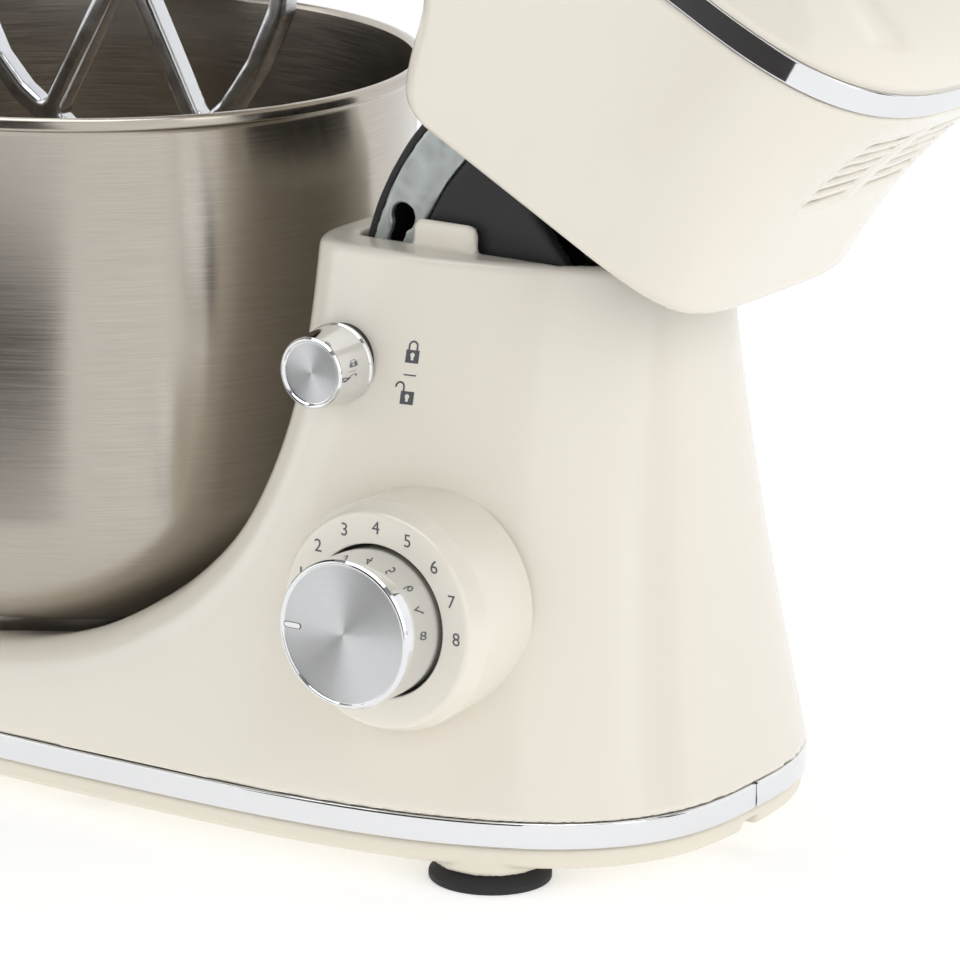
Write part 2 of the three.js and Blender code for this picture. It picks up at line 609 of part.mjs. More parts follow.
function drivePin() {
  return rod([PLANET.x - 9, PLANET.y, 195], [PLANET.x + 9, PLANET.y, 195], 1.5, 12);
}

// ---- Flat beater -----------------------------------------------------------------------------
/** A bar of the beater between two points in its own plane. */
function bar([x0, z0], [x1, z1]) {
  const width = BEATER.bar / 2;
  const length = Math.hypot(x1 - x0, z1 - z0);
  const angle = Math.atan2(z1 - z0, x1 - x0);
  const [end, reach] = [width * 0.8, BEATER.depth / 2];
  const geometry = box(-end, length + end, -reach, reach, -width, width);
  return geometry.rotateY(-angle).translate(x0, 0, z0);
}

function flatBeater() {
  const { bottom, half, top } = BEATER;
  const loop = [[0, bottom + 3.5], [26, bottom + 8], [half - 8, bottom + 34], [half - 2, bottom + 62],
    [half - 3, bottom + 92], [half - 14, bottom + 108], [20, bottom + 118], [0, bottom + 120]];
  const bars = [bar([0, bottom + 3.5], [0, bottom + 124])];
  for (const side of [-1, 1]) {
    const turn = ([x, z]) => [side * x, z];
    for (let i = 0; i + 1 < loop.length; i++) bars.push(bar(turn(loop[i]), turn(loop[i + 1])));
    bars.push(bar(turn([0, bottom + 68]), turn([half - 8, bottom + 34])));
  }
  const hub = rod([0, 0, bottom + 118], [0, 0, top], 9.5, 28);
  const bore = rod([0, 0, 185.4], [0, 0, top + 5], 4 + GAP, 20);
  const slot = box(-20, 20, -1.5 - GAP, 1.5 + GAP, 195 - 1.5 - GAP, top + 5);
  return cut(join(bars[0], bars.slice(1), hub), bore, slot).translate(PLANET.x, PLANET.y, 0);
}

// ---- Bowl ------------------------------------------------------------------------------------
function bowlShell() {
  const { radius, rim, bead, corner, floor, sheet } = BOWL;
  const [cx, cz] = [radius - corner, floor + corner];
  const arc = (r, from, to, steps) => Array.from({ length: steps + 1 }, (_, i) => {
    const angle = rad(from + ((to - from) * i) / steps);
    return [cx + r * Math.cos(angle), cz + r * Math.sin(angle)];
  });
  return turned([[0, floor], ...arc(corner, -90, 0, 5), [radius, rim - 5], [bead - 0.6, rim - 4.6],
    [bead, rim - 3.2], [bead - 0.2, rim - 0.8], [bead - 1.6, rim], [radius - sheet, rim - 1.2],
    ...arc(corner - sheet, 0, -90, 5), [0, floor + sheet]], { segments: 32 });
}

/** The foot under the bowl: a drawn ring with three lugs that turn under the plate's clips. */
function bowlFoot() {
  const { foot, floor } = BOWL;
  const body = ring(foot - 2, foot, 40 + GAP, floor - GAP, { segments: 28 });
  const lugs = [];
  for (let k = 0; k < LUGS; k++) {
    lugs.push(box(foot - 1.5, 65.6, -6, 6, 41.2, 44).rotateZ((2 * Math.PI * k) / LUGS));
  }
  return join(body, lugs);
}

// ---- Materials -------------------------------------------------------------------------------
const material = (color, roughness, metalness) =>
  new THREE.MeshStandardMaterial({ color, roughness, metalness });
const creamPlastic = () => material(0xe3dccb, 0.25, 0);
const blackPlastic = () => material(0x2b2b2c, 0.5, 0);
const chrome = () => material(0xe6e7e9, 0.08, 1);
const brushedSteel = () => material(0xb9b3ab, 0.3, 1);
const zincSteel = () => material(0xb3bbbd, 0.45, 1);
const machinedSteel = () => material(0x9a9da0, 0.3, 1);
const aluminium = () => material(0xc3c5c8, 0.25, 1);
const rubber = () => material(0x1e1e20, 0.85, 0);
const copper = () => material(0xb4693a, 0.4, 1);
const circuitBoard = () => material(0x2c5a3a, 0.5, 0);
const nylon = () => material(0xd9d6cc, 0.5, 0);

function part(name, geometry, look, parent) {
  const mesh = new THREE.Mesh(geometry, look);
  mesh.name = name;
  parent.add(mesh);
}

// ---- Assembly --------------------------------------------------------------------------------
const mixer = new THREE.Group();

part('stand_housing', standHousing(), creamPlastic(), mixer);
part('bottom_cover', bottomCover(), creamPlastic(), mixer);
part('base_trim_near', trimBand(-1), chrome(), mixer);
part('base_trim_far', trimBand(1), chrome(), mixer);
FEET.forEach((place, k) => part(`suction_foot_${k + 1}`, suctionFoot(place), rubber(), mixer));
screwPlaces.forEach((place, k) => part(`cover_screw_${k + 1}`, coverScrew(place), machinedSteel(), mixer));
part('bowl_plate', bowlPlate(), zincSteel(), mixer);
part('dial_collar', dialCollar(), creamPlastic(), mixer);
part('speed_switch', box(163, 191, -61, -49, 70, 98), blackPlastic(), mixer);
part('speed_board', box(150, 200, -48.6, -47, 62, 108), circuitBoard(), mixer);
part('hinge_bracket', hingeBracket(), zincSteel(), mixer);
part('hinge_pin', hingePin(), machinedSteel(), mixer);
part('cord_gland', join(rod(inletPoint(-9), inletPoint(5), 5), rod(inletPoint(2), inletPoint(5), 7)),
  rubber(), mixer);

part('speed_dial', speedDial(), chrome(), mixer);
part('dial_spindle', rod([DIAL.x, -61.4, DIAL.z], [DIAL.x, -88.1, DIAL.z], 3), nylon(), mixer);
part('lock_knob', lockKnob(), chrome(), mixer);
part('lock_shaft', lockShaft(), machinedSteel(), mixer);

part('bowl', bowlShell(), brushedSteel(), mixer);
part('bowl_foot', bowlFoot(), brushedSteel(), mixer);

const head = new THREE.Group();
part('head_lower_shell', headLowerShell(), creamPlastic(), head);
part('head_trim', headTrim(), chrome(), head);
part('head_upper_shell', headUpperShell(), creamPlastic(), head);
part('hinge_skirt', hingeSkirt(), blackPlastic(), head);
part('lock_sector_near', lockSector(-1), zincSteel(), head);
part('lock_sector_far', lockSector(1), zincSteel(), head);
part('tilt_arm_near', tiltArm(-1), zincSteel(), head);
part('tilt_arm_far', tiltArm(1), zincSteel(), head);
part('head_chassis', chassis(), aluminium(), head);
part('ring_gear', ringGear(), machinedSteel(), head);
part('gearbox_cover', gearboxCover(), aluminium(), head);
part('carrier_bearing', bearing(0, 7 + GAP, 12 - GAP, DECK.low, DECK.high), machinedSteel(), head);
part('layshaft_bearing', bearing(LAYSHAFT_X, 4 + GAP, 8 - GAP, DECK.low, DECK.high), machinedSteel(), head);
part('drive_belt', driveBelt(), rubber(), head);
part('motor_field', motorField(), zincSteel(), head);
part('field_coil_near', fieldCoil(-1), copper(), head);
part('field_coil_far', fieldCoil(1), copper(), head);
part('motor_bracket_low', motorBracket(true), aluminium(), head);
part('motor_bracket_top', motorBracket(false), aluminium(), head);
part('motor_brush_near', brush(-1), rubber(), head);
part('motor_brush_far', brush(1), rubber(), head);

part('rotor_shaft', rod([MOTOR_X, 0, 209], [MOTOR_X, 0, 299], 4, 20), machinedSteel(), head);
part('rotor_core', rotorCore(), zincSteel(), head);
part('commutator', ring(4 + GAP, 12, 270, 279, { x: MOTOR_X, segments: 14 }), copper(), head);
part('cooling_fan', coolingFan(), blackPlastic(), head);
part('motor_pulley', beltPulley(MOTOR_X, BELT.drive, 6.5, 4 + GAP), machinedSteel(), head);

part('layshaft', layshaft(), machinedSteel(), head);
part('belt_pulley', beltPulley(LAYSHAFT_X, BELT.driven, 9, 4 + GAP), nylon(), head);

const planetTurn = Math.atan2(PLANET.y, PLANET.x);
part('carrier_hub', carrierHub(), chrome(), head);
part('carrier_shaft', carrierShaft(), machinedSteel(), head);
part('main_gear', spurGear(TEETH.main, 7 + GAP, 259, 267, 0, 0, 0), nylon(), head);
part('planet_gear', spurGear(TEETH.planet, 5 + GAP, 240.4, 248.4, PLANET.x, PLANET.y,
  planetTurn * (1 - TEETH.ring / TEETH.planet) + Math.PI / TEETH.planet), machinedSteel(), head);
part('beater_spindle', beaterSpindle(), machinedSteel(), head);
part('drive_pin', drivePin(), machinedSteel(), head);
part('flat_beater', flatBeater(), aluminium(), head);

// The head is drawn lowered, then turned up about its hinge.
const raised = new THREE.Group();
raised.position.set(HINGE.x, 0, HINGE.z);
raised.rotation.y = rad(TILT);
head.position.set(-HINGE.x, 0, -HINGE.z);
raised.add(head);
mixer.add(raised);

mixer.updateMatrixWorld(true);
const extent = new THREE.Box3().setFromObject(mixer, true);
mixer.position.set(-(extent.min.x + extent.max.x) / 2, -(extent.min.y + extent.max.y) / 2, -extent.min.z);
mixer.updateMatrixWorld(true);

export default mixer;
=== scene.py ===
"""A tilt-head stand mixer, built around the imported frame. Shapes are drawn in millimetres with the
bowl's axis at x = 0, y = 0 and the head lowered, and then placed in the row frame in metres."""
import json
import math

import bmesh
import bpy
import numpy as np
from mathutils import Matrix, Vector


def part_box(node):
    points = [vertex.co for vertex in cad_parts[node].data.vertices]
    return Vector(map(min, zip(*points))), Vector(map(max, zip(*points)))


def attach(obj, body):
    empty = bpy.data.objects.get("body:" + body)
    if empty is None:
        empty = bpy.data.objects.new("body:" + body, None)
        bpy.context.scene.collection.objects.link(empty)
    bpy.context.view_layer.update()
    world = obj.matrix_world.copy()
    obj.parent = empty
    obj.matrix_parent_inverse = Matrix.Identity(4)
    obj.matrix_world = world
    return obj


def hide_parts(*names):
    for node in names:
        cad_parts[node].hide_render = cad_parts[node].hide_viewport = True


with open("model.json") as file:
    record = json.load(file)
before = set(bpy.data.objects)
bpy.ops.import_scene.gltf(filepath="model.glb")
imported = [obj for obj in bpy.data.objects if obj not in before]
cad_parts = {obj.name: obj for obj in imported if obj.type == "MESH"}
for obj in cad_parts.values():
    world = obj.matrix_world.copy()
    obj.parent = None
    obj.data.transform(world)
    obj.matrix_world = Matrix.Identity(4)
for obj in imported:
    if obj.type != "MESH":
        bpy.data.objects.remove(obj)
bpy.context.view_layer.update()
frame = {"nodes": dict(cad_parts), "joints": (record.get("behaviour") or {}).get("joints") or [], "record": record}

# ---- Places from the frame --------------------------------------------------------------------


def middle(node):
    low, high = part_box(node)
    return (low + high) / 2


MM = 0.001
AXIS = middle("bowl")
PIN = middle("hinge_pin")
TILT = math.radians(-next(j for j in frame["joints"] if j["name"] == "head_tilt")["range_deg"][0])
DRAWN = Matrix.Translation((AXIS.x, AXIS.y, 0))
RAISED = (Matrix.Translation((PIN.x, 0, PIN.z)) @ Matrix.Rotation(TILT, 4, "Y")
          @ Matrix.Translation((-PIN.x, 0, -PIN.z)) @ DRAWN)
HINGE_X = (PIN.x - AXIS.x) * 1000
HINGE_Z = PIN.z * 1000

# Heights and sizes, in millimetres
BASE_LOW, BAND_LOW, BAND_TOP, SHELL_LOW, RIM = 8, 15, 23.15, 23.5, 184
DIAL_X, DIAL_Z = 176.9, 83.9
LOCK_X, LOCK_Z = 143.2, 150.5
HEAD_LOW, HEAD_BAND, HEAD_COVER, HEAD_TOP = 186, 272.6, 281, 325
PLANET_X, PLANET_Y = -13.8, 28.9
SLOT_RADIUS, PLATE_RADIUS = 82.3, 82.1      # of the lock plates, about the hinge
FINE = 1.0      # grid pitch factor of the modelled solids
SETTLE_ROUNDS = 3
PROBE = 0.02      # half the step over which a slope is taken

# ---- Fields: distances in millimetres, negative inside the solid -------------------------------


def ease(t):
    t = np.clip(t, 0, 1)
    return t * t * (3 - 2 * t)


def meet(a, b, radius):
    """The part inside both, its edge rounded."""
    u, v = np.maximum(a + radius, 0), np.maximum(b + radius, 0)
    return np.minimum(-radius, np.maximum(a, b)) + np.hypot(u, v)


def both(a, b, radius):
    """The part inside either, its inner corner filled."""
    return -meet(-a, -b, radius)


def less(a, b, radius):
    return meet(a, -b, radius)


def plan_distance(x, y, centre, front, rear, half, front_power, rear_power):
    """Distance from a superellipse whose front and rear halves differ."""
    back = x > centre
    n = np.where(back, rear_power, front_power)
    reach = np.where(back, rear - centre, centre - front)
    u, v = np.abs(x - centre) / reach + 1e-5, np.abs(y) / half + 1e-5
    h = (u ** n + v ** n) ** (1 / n)
    slope = h ** (1 - n) * np.hypot(u ** (n - 1) / reach, v ** (n - 1) / half)
    return (h - 1) / slope


class Curve:
    """A natural cubic through points, going straight on beyond its ends."""

    def __init__(self, points):
        self.t, self.v = (np.array(c, float) for c in zip(*points))
        t, v, count = self.t, self.v, len(points)
        gap = np.diff(t)
        system, known = np.eye(count), np.zeros(count)
        for i in range(1, count - 1):
            system[i, i - 1:i + 2] = gap[i - 1], 2 * (gap[i - 1] + gap[i]), gap[i]
            known[i] = 6 * ((v[i + 1] - v[i]) / gap[i] - (v[i] - v[i - 1]) / gap[i - 1])
        self.bend = np.linalg.solve(system, known)

    def at(self, t):
        """Value and slope."""
        inside = np.clip(t, self.t[0], self.t[-1])
        i = np.clip(np.searchsorted(self.t, inside) - 1, 0, len(self.t) - 2)
        gap = self.t[i + 1] - self.t[i]
        a, b = (self.t[i + 1] - inside) / gap, (inside - self.t[i]) / gap
        low, high = self.bend[i], self.bend[i + 1]
        value = (a * self.v[i] + b * self.v[i + 1]
                 + ((a ** 3 - a) * low + (b ** 3 - b) * high) * gap ** 2 / 6)
        slope = ((self.v[i + 1] - self.v[i]) / gap
                 + ((1 - 3 * a * a) * low + (3 * b * b - 1) * high) * gap / 6)
        return value + slope * (t - inside), slope


def grid_mesh(field, low, high, pitch):
    """A closed quad mesh of the field's zero surface, settled exactly onto it."""
    pitch = pitch * FINE
    axes = [np.arange(a - pitch * 1.37, b + 2 * pitch, pitch) for a, b in zip(low, high)]
    values = field(*np.meshgrid(*axes, indexing="ij"))
    inside = values < 0
    size = np.array(values.shape) - 1
    corners = [(i, j, k) for i in (0, 1) for j in (0, 1) for k in (0, 1)]
    filled = sum(inside[i:i + size[0], j:j + size[1], k:k + size[2]].astype(np.int8)
                 for i, j, k in corners)
    mixed = (filled > 0) & (filled < 8)
    cell = np.full(mixed.shape, -1, np.int64)
    at = np.argwhere(mixed)
    cell[mixed] = np.arange(len(at))
    total, hits = np.zeros((len(at), 3)), np.zeros(len(at))
    for axis in range(3):
        unit = np.eye(3, dtype=int)[axis]
        for offset in (np.array(c) for c in corners if c[axis] == 0):
            start = at + offset
            a = values[tuple(start.T)]
            b = values[tuple((start + unit).T)]
            cross = (a < 0) != (b < 0)
            share = a[cross] / (a[cross] - b[cross])
            total[cross] += offset + share[:, None] * unit
            hits[cross] += 1
    points = (at + total / hits[:, None]) * pitch + [a[0] for a in axes]
    faces = []
    for axis in range(3):
        one, two = (axis + 1) % 3, (axis + 2) % 3
        u, v = np.eye(3, dtype=int)[one], np.eye(3, dtype=int)[two]
        first = np.take(inside, range(size[axis]), axis)
        second = np.take(inside, range(1, size[axis] + 1), axis)
        place = np.argwhere(first != second)
        outwards = first[tuple(place.T)]
        keep = (place[:, one] > 0) & (place[:, two] > 0)
        keep &= (place[:, one] < size[one]) & (place[:, two] < size[two])
        place, outwards = place[keep], outwards[keep]
        quad = np.stack([cell[tuple((place - shift).T)] for shift in (u + v, v, 0 * u, u)], 1)
        faces.append(np.where(outwards[:, None], quad, quad[:, ::-1]))
    faces = np.concatenate(faces)
    turned = np.roll(faces, 1, 1)
    ends = np.concatenate([faces, turned]).ravel(), np.concatenate([turned, faces]).ravel()
    share = np.bincount(ends[0], minlength=len(points))[:, None]
    for turn in range(SETTLE_ROUNDS):
        points, normal = settle(points, field, pitch)
        if turn + 1 < SETTLE_ROUNDS:
            pull = np.stack([np.bincount(ends[0], points[ends[1], c], len(points))
                             for c in range(3)], 1) / share
            pull -= points
            points = points + 0.6 * (pull - normal * (pull * normal).sum(1, keepdims=True))
    return points, faces


def settle(points, field, reach):
    """Moves points along the field's slope to where it is zero."""
    normal = None
    for _ in range(2):
        value = field(*points.T)
        slope = np.stack([(field(*(points + d).T) - field(*(points - d).T)) / (2 * PROBE)
                          for d in np.eye(3) * PROBE], 1)
        steep = np.maximum((slope ** 2).sum(1, keepdims=True), 0.05)
        move = value[:, None] * slope / steep
        length = np.linalg.norm(move, axis=1, keepdims=True)
        points = points - move * np.minimum(1, 0.8 * reach / np.maximum(length, 1e-9))
        normal = slope / np.sqrt(steep)
    return points, normal


# ---- Pieces ---------------------------------------------------------------------------------


def moved(x, y, z):
    """A move given in millimetres."""
    return Matrix.Translation((x * MM, y * MM, z * MM))


def piece(name, points, faces, place, body, look, slot, replaced=(), even=False, axes=False):
    """A mesh from millimetres, placed, riding on a body, with a material."""
    mesh = bpy.data.meshes.new(name)
    mesh.from_pydata(np.asarray(points, float) * MM, [], faces)
    mesh.polygons.foreach_set("use_smooth", [True] * len(mesh.polygons))
    mesh.update()
    return put(name, mesh, place, body, look, replaced, even, axes)


def put(name, mesh, place, body, look, replaced=(), even=False, axes=False):
    """A placed piece. One with axes keeps its own Z, about which its finish turns."""
    obj = bpy.data.objects.new(name, mesh)
    bpy.context.scene.collection.objects.link(obj)
    if axes:
        obj.matrix_world = place
    else:
        mesh.transform(place)
    mesh.materials.clear()
    mesh.materials.append(look)
    if even:
        weighted = obj.modifiers.new("even_shading", "WEIGHTED_NORMAL")
        weighted.keep_sharp = True
    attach(obj, body)
    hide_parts(*replaced)
    return obj


def rounded(corners, steps=5):
    """A line through corners given as (u, v) or (u, v, radius), with those corners rounded."""
    line = []
    for i, corner in enumerate(corners):
        p = np.array(corner[:2], float)
        if len(corner) < 3 or i in (0, len(corners) - 1):
            line.append(tuple(p))
            continue
        a, b = np.array(corners[i - 1][:2]) - p, np.array(corners[i + 1][:2]) - p
        long_a, long_b = np.linalg.norm(a), np.linalg.norm(b)
        a, b = a / long_a, b / long_b
        half = math.acos(max(-1, min(1, float(a @ b)))) / 2
        back = min(corner[2] / math.tan(half), 0.49 * long_a, 0.49 * long_b)
        radius = back * math.tan(half)
        centre = p + (a + b) / np.linalg.norm(a + b) * radius / math.sin(half)
        v0, v1, sweep = p + a * back - centre, p + b * back - centre, math.pi - 2 * half
        for k in range(steps + 1):
            w = k / steps
            v = (math.sin((1 - w) * sweep) * v0 + math.sin(w * sweep) * v1) / math.sin(sweep)
            line.append(tuple(centre + v))
    return line


def lathe(profile, count):
    """A [radius, height] line turned about Z; points on the axis become one."""
    points, faces, rings = [], [], []
    for r, z in profile:
        start = len(points)
        if r < 1e-6:
            points.append((0, 0, z))
            rings.append([start] * count)
        else:
            turn = np.arange(count) * 2 * math.pi / count
            ring = [r * np.cos(turn), r * np.sin(turn), np.full(count, z)]
            points.extend(np.stack(ring, 1).tolist())
            rings.append(list(range(start, start + count)))
    loop = list(zip(rings, rings[1:]))
    if profile[0][0] > 1e-6:
        loop.append((rings[-1], rings[0]))
    for low, high in loop:
        for i in range(count):
            j = (i + 1) % count
            corner = [low[i], low[j], high[j], high[i]]
            face = [v for k, v in enumerate(corner) if v != corner[k - 1]]
            if len(face) > 2:
                faces.append(face)
    return points, faces


def outline(plan, count, inset):
    """Points of a superellipse plan, evenly spread along it."""
    centre, front, rear, half, front_power, rear_power = plan
    turn = np.arange(1440) * 2 * math.pi / 1440
    c, s = np.cos(turn), np.sin(turn)
    power = np.where(c > 0, rear_power, front_power)
    reach = np.where(c > 0, rear - centre, centre - front) - inset
    x = centre + np.sign(c) * reach * np.abs(c) ** (2 / power)
    y = np.sign(s) * (half - inset) * np.abs(s) ** (2 / power)
    step = np.hypot(np.diff(x, append=x[0]), np.diff(y, append=y[0]))
    run = np.concatenate([[0], np.cumsum(step)])
    where = np.arange(count) * run[-1] / count
    return np.stack([np.interp(where, run, np.append(v, v[0])) for v in (x, y)], 1)


def band(plan, section, count, side=0):
    """A strip round a plan. Section is a closed line of (inset, height), and side, -1 or 1,
    keeps the half of the strip on that side."""
    rings = [outline(plan, count, inset) for inset, _ in section]
    if side:
        start = int(np.argmin(np.abs(rings[0][:, 1]) + (rings[0][:, 0] < plan[0]) * 1e3))
        half = count // 2
        order = [(start + side * i) % count for i in range(half + 1)]
        if side < 0:
            order = order[::-1]
    else:
        order = list(range(count))
    used, around = len(order), len(section)
    points = []
    for (_, z), ring in zip(section, rings):
        for n, i in enumerate(order):
            x, y = ring[i]
            if side and n in (0, used - 1):
                y = side * 0.4
            points.append((x, y, z))
    faces = []
    last = used - 1 if side else used
    for k in range(around):
        for i in range(last):
            j, m = (i + 1) % used, (k + 1) % around
            faces.append([k * used + i, k * used + j, m * used + j, m * used + i])
    if side:
        faces.append([k * used for k in range(around)])
        faces.append([k * used + used - 1 for k in reversed(range(around))])
    return points, faces


def slab_mesh(name, outlines, thick, bevel):
    """Flat closed outlines in X and Z, given thickness along Y, with rounded edges."""
    curve = bpy.data.curves.new(name, "CURVE")
    curve.dimensions, curve.fill_mode = "2D", "BOTH"
    for points in outlines:
        spline = curve.splines.new("POLY")
        spline.points.add(len(points) - 1)
        for target, (u, v) in zip(spline.points, points):
            target.co = (u * MM, v * MM, 0, 1)
        spline.use_cyclic_u = True
    curve.extrude = max(0, thick / 2 - bevel) * MM
    curve.bevel_depth, curve.offset = bevel * MM, -bevel * MM
    curve.bevel_resolution = 2
    return curve_mesh(curve, Matrix.Rotation(math.pi / 2, 4, "X"))


def curve_mesh(curve, turn):
    """The closed mesh of a curve or text."""
    obj = bpy.data.objects.new(curve.name, curve)
    bpy.context.scene.collection.objects.link(obj)
    bpy.context.view_layer.update()
    mesh = bpy.data.meshes.new_from_object(obj.evaluated_get(bpy.context.evaluated_depsgraph_get()))
    bpy.data.objects.remove(obj)
    work = bmesh.new()
    work.from_mesh(mesh)
    bmesh.ops.remove_doubles(work, verts=work.verts, dist=2e-6)
    bmesh.ops.dissolve_degenerate(work, edges=work.edges, dist=1e-6)
    work.to_mesh(mesh)
    work.free()
    mesh.transform(turn)
    return mesh


# ---- Materials --------------------------------------------------------------------------------


def linear(*srgb):
    return [((c / 255 + 0.055) / 1.055) ** 2.4 if c > 10 else c / 3294.6 for c in srgb] + [1.0]


class Look:
    """A node material: one Principled shader, and the textures that feed it."""

    def __init__(self, name, colour, **fixed):
        self.material = bpy.data.materials.new(name)
        self.material.use_nodes = True
        self.tree = self.material.node_tree
        self.shader = self.tree.nodes["Principled BSDF"]
        self.colour = colour
        self.shader.inputs["Base Color"].default_value = colour
        self.material.diffuse_color = colour
        for key, value in fixed.items():
            self.shader.inputs[key.replace("_", " ")].default_value = value
        self.place = self.node("ShaderNodeTexCoord").outputs["Object"]

    def node(self, kind, **settings):
        made = self.tree.nodes.new(kind)
        for key, value in settings.items():
            setattr(made, key, value)
        return made

    def join(self, source, target):
        self.tree.links.new(source, target)

    def noise(self, scale, detail=3.0, where=None, rough=0.5):
        made = self.node("ShaderNodeTexNoise")
        made.inputs["Scale"].default_value = scale
        made.inputs["Detail"].default_value = detail
        made.inputs["Roughness"].default_value = rough
        self.join(where or self.place, made.inputs["Vector"])
        return made.outputs["Fac"]

    def spread(self, source, low, high, start=0.3, end=0.7):
        made = self.node("ShaderNodeMapRange")
        limits = {"From Min": start, "From Max": end, "To Min": low, "To Max": high}
        for key, value in limits.items():
            made.inputs[key].default_value = value
        self.join(source, made.inputs["Value"])
        return made.outputs["Result"]

    def stretch(self, x, y, z):
        made = self.node("ShaderNodeMapping")
        made.inputs["Scale"].default_value = (x, y, z)
        self.join(self.place, made.inputs["Vector"])
        return made.outputs["Vector"]

    def turned(self, around, across):
        """A place that changes slowly round the piece's Z axis and fast across its marks."""
        apart = self.node("ShaderNodeSeparateXYZ")
        self.join(self.place, apart.inputs[0])
        flat = self.node("ShaderNodeCombineXYZ")
        self.join(apart.outputs[0], flat.inputs[0])
        self.join(apart.outputs[1], flat.inputs[1])
        length = self.node("ShaderNodeVectorMath", operation="LENGTH")
        unit = self.node("ShaderNodeVectorMath", operation="NORMALIZE")
        slow = self.node("ShaderNodeVectorMath", operation="SCALE")
        slow.inputs["Scale"].default_value = around
        self.join(flat.outputs[0], length.inputs[0])
        self.join(flat.outputs[0], unit.inputs[0])
        self.join(unit.outputs[0], slow.inputs[0])
        total = self.node("ShaderNodeMath", operation="ADD")
        self.join(length.outputs["Value"], total.inputs[0])
        self.join(apart.outputs[2], total.inputs[1])
        fast = self.node("ShaderNodeMath", operation="MULTIPLY")
        fast.inputs[1].default_value = across
        self.join(total.outputs[0], fast.inputs[0])
        lift = self.node("ShaderNodeCombineXYZ")
        self.join(fast.outputs[0], lift.inputs[2])
        both_ways = self.node("ShaderNodeVectorMath", operation="ADD")
        self.join(slow.outputs[0], both_ways.inputs[0])
        self.join(lift.outputs[0], both_ways.inputs[1])
        return both_ways.outputs[0]

    def tint(self, source, change):
        """Colour that wanders between darker and lighter by the change given."""
        mix = self.node("ShaderNodeMix", data_type="RGBA")
        for key, share in (("A", 1 - change), ("B", 1 + change)):
            socket = next(s for s in mix.inputs if s.name == key and s.type == "RGBA")
            socket.default_value = [min(1, c * share) for c in self.colour[:3]] + [1]
        self.join(source, next(s for s in mix.inputs if s.name == "Factor" and s.type == "VALUE"))
        mixed = next(s for s in mix.outputs if s.type == "RGBA")
        self.join(mixed, self.shader.inputs["Base Color"])

    def rough(self, source, low, high):
        self.join(self.spread(source, low, high), self.shader.inputs["Roughness"])

    def bump(self, source, depth):
        made = self.node("ShaderNodeBump")
        made.inputs["Strength"].default_value = 1.0
        made.inputs["Distance"].default_value = depth
        self.join(source, made.inputs["Height"])
        self.join(made.outputs["Normal"], self.shader.inputs["Normal"])

    def radial(self, amount, turn=0.25):
        """Turning marks round the Z axis, which draw every highlight out across them."""
        tangent = self.node("ShaderNodeTangent", direction_type="RADIAL", axis="Z")
        self.join(tangent.outputs[0], self.shader.inputs["Tangent"])
        self.shader.inputs["Anisotropic"].default_value = amount
        self.shader.inputs["Anisotropic Rotation"].default_value = turn


def moulded(name, colour, low, high, grain, depth, change, **fixed):
    """A plastic or paint: roughness from low to high, with a fine grain of the depth given."""
    look = Look(name, colour, **fixed)
    look.tint(look.noise(9, 2), change)
    look.rough(look.noise(28, 4), low, high)
    look.bump(look.noise(grain, 2), depth)
    return look.material


def metal(name, colour, low, high, grain, depth, change, stretch=None, **fixed):
    look = Look(name, colour, Metallic=1.0, **fixed)
    where = look.stretch(*stretch) if stretch else None
    look.tint(look.noise(18, 3), change)
    look.rough(look.noise(grain * 0.4, 4, where), low, high)
    look.bump(look.noise(grain, 3, where), depth)
    return look.material


def spun(name, colour, low, high, around, across, depth, change, amount):
    """Metal with turning marks round the piece's Z axis."""
    look = Look(name, colour, Metallic=1.0)
    streak = look.noise(1.0, 5, look.turned(around, across), 0.65)
    look.tint(look.spread(streak, 0, 1), change)
    look.rough(streak, low, high)
    look.bump(streak, depth)
    look.radial(amount)
    return look.material


def spangled(name, colour):
    """Zinc plate: large soft crystals over a brushed ground."""
    look = Look(name, colour, Metallic=1.0)
    cells = look.node("ShaderNodeTexVoronoi", feature="SMOOTH_F1")
    cells.inputs["Scale"].default_value = 230
    warp = look.node("ShaderNodeVectorMath", operation="ADD")
    shift = look.node("ShaderNodeVectorMath", operation="SCALE")
    shift.inputs["Scale"].default_value = 0.01
    swirl = look.node("ShaderNodeTexNoise")
    swirl.inputs["Scale"].default_value = 60
    look.join(look.place, swirl.inputs["Vector"])
    look.join(swirl.outputs["Color"], shift.inputs[0])
    look.join(look.place, warp.inputs[0])
    look.join(shift.outputs[0], warp.inputs[1])
    look.join(warp.outputs[0], cells.inputs["Vector"])
    look.tint(look.spread(cells.outputs["Distance"], 0, 1, 0.1, 0.8), 0.16)
    look.rough(look.noise(90, 4), 0.42, 0.6)
    look.bump(look.noise(900, 3), 1e-5)
    return look.material


CREAM = linear(235, 229, 216)
cream = moulded("cream_gloss", CREAM, 0.16, 0.24, 420, 4e-6, 0.008, IOR=1.5, Coat_Weight=0.25,
                Coat_Roughness=0.06)
cream_satin = moulded("cream_satin", linear(232, 225, 209), 0.3, 0.4, 900, 1.2e-5, 0.01, IOR=1.5)
black_matt = moulded("black_matt", linear(42, 42, 44), 0.48, 0.6, 1400, 2.5e-5, 0.06, IOR=1.5)
rubber = moulded("foot_rubber", linear(38, 38, 40), 0.6, 0.78, 700, 4e-5, 0.08)
bakelite = moulded("switch_black", linear(34, 34, 36), 0.35, 0.5, 900, 2e-5, 0.06)
nylon = moulded("moulded_nylon", linear(226, 223, 213), 0.35, 0.5, 600, 1.5e-5, 0.02,
                Subsurface_Weight=0.05)
board = moulded("circuit_board", linear(38, 92, 58), 0.3, 0.45, 1800, 2e-5, 0.12)
print_white = moulded("printed_white", linear(238, 238, 236), 0.3, 0.4, 1500, 4e-6, 0.02)
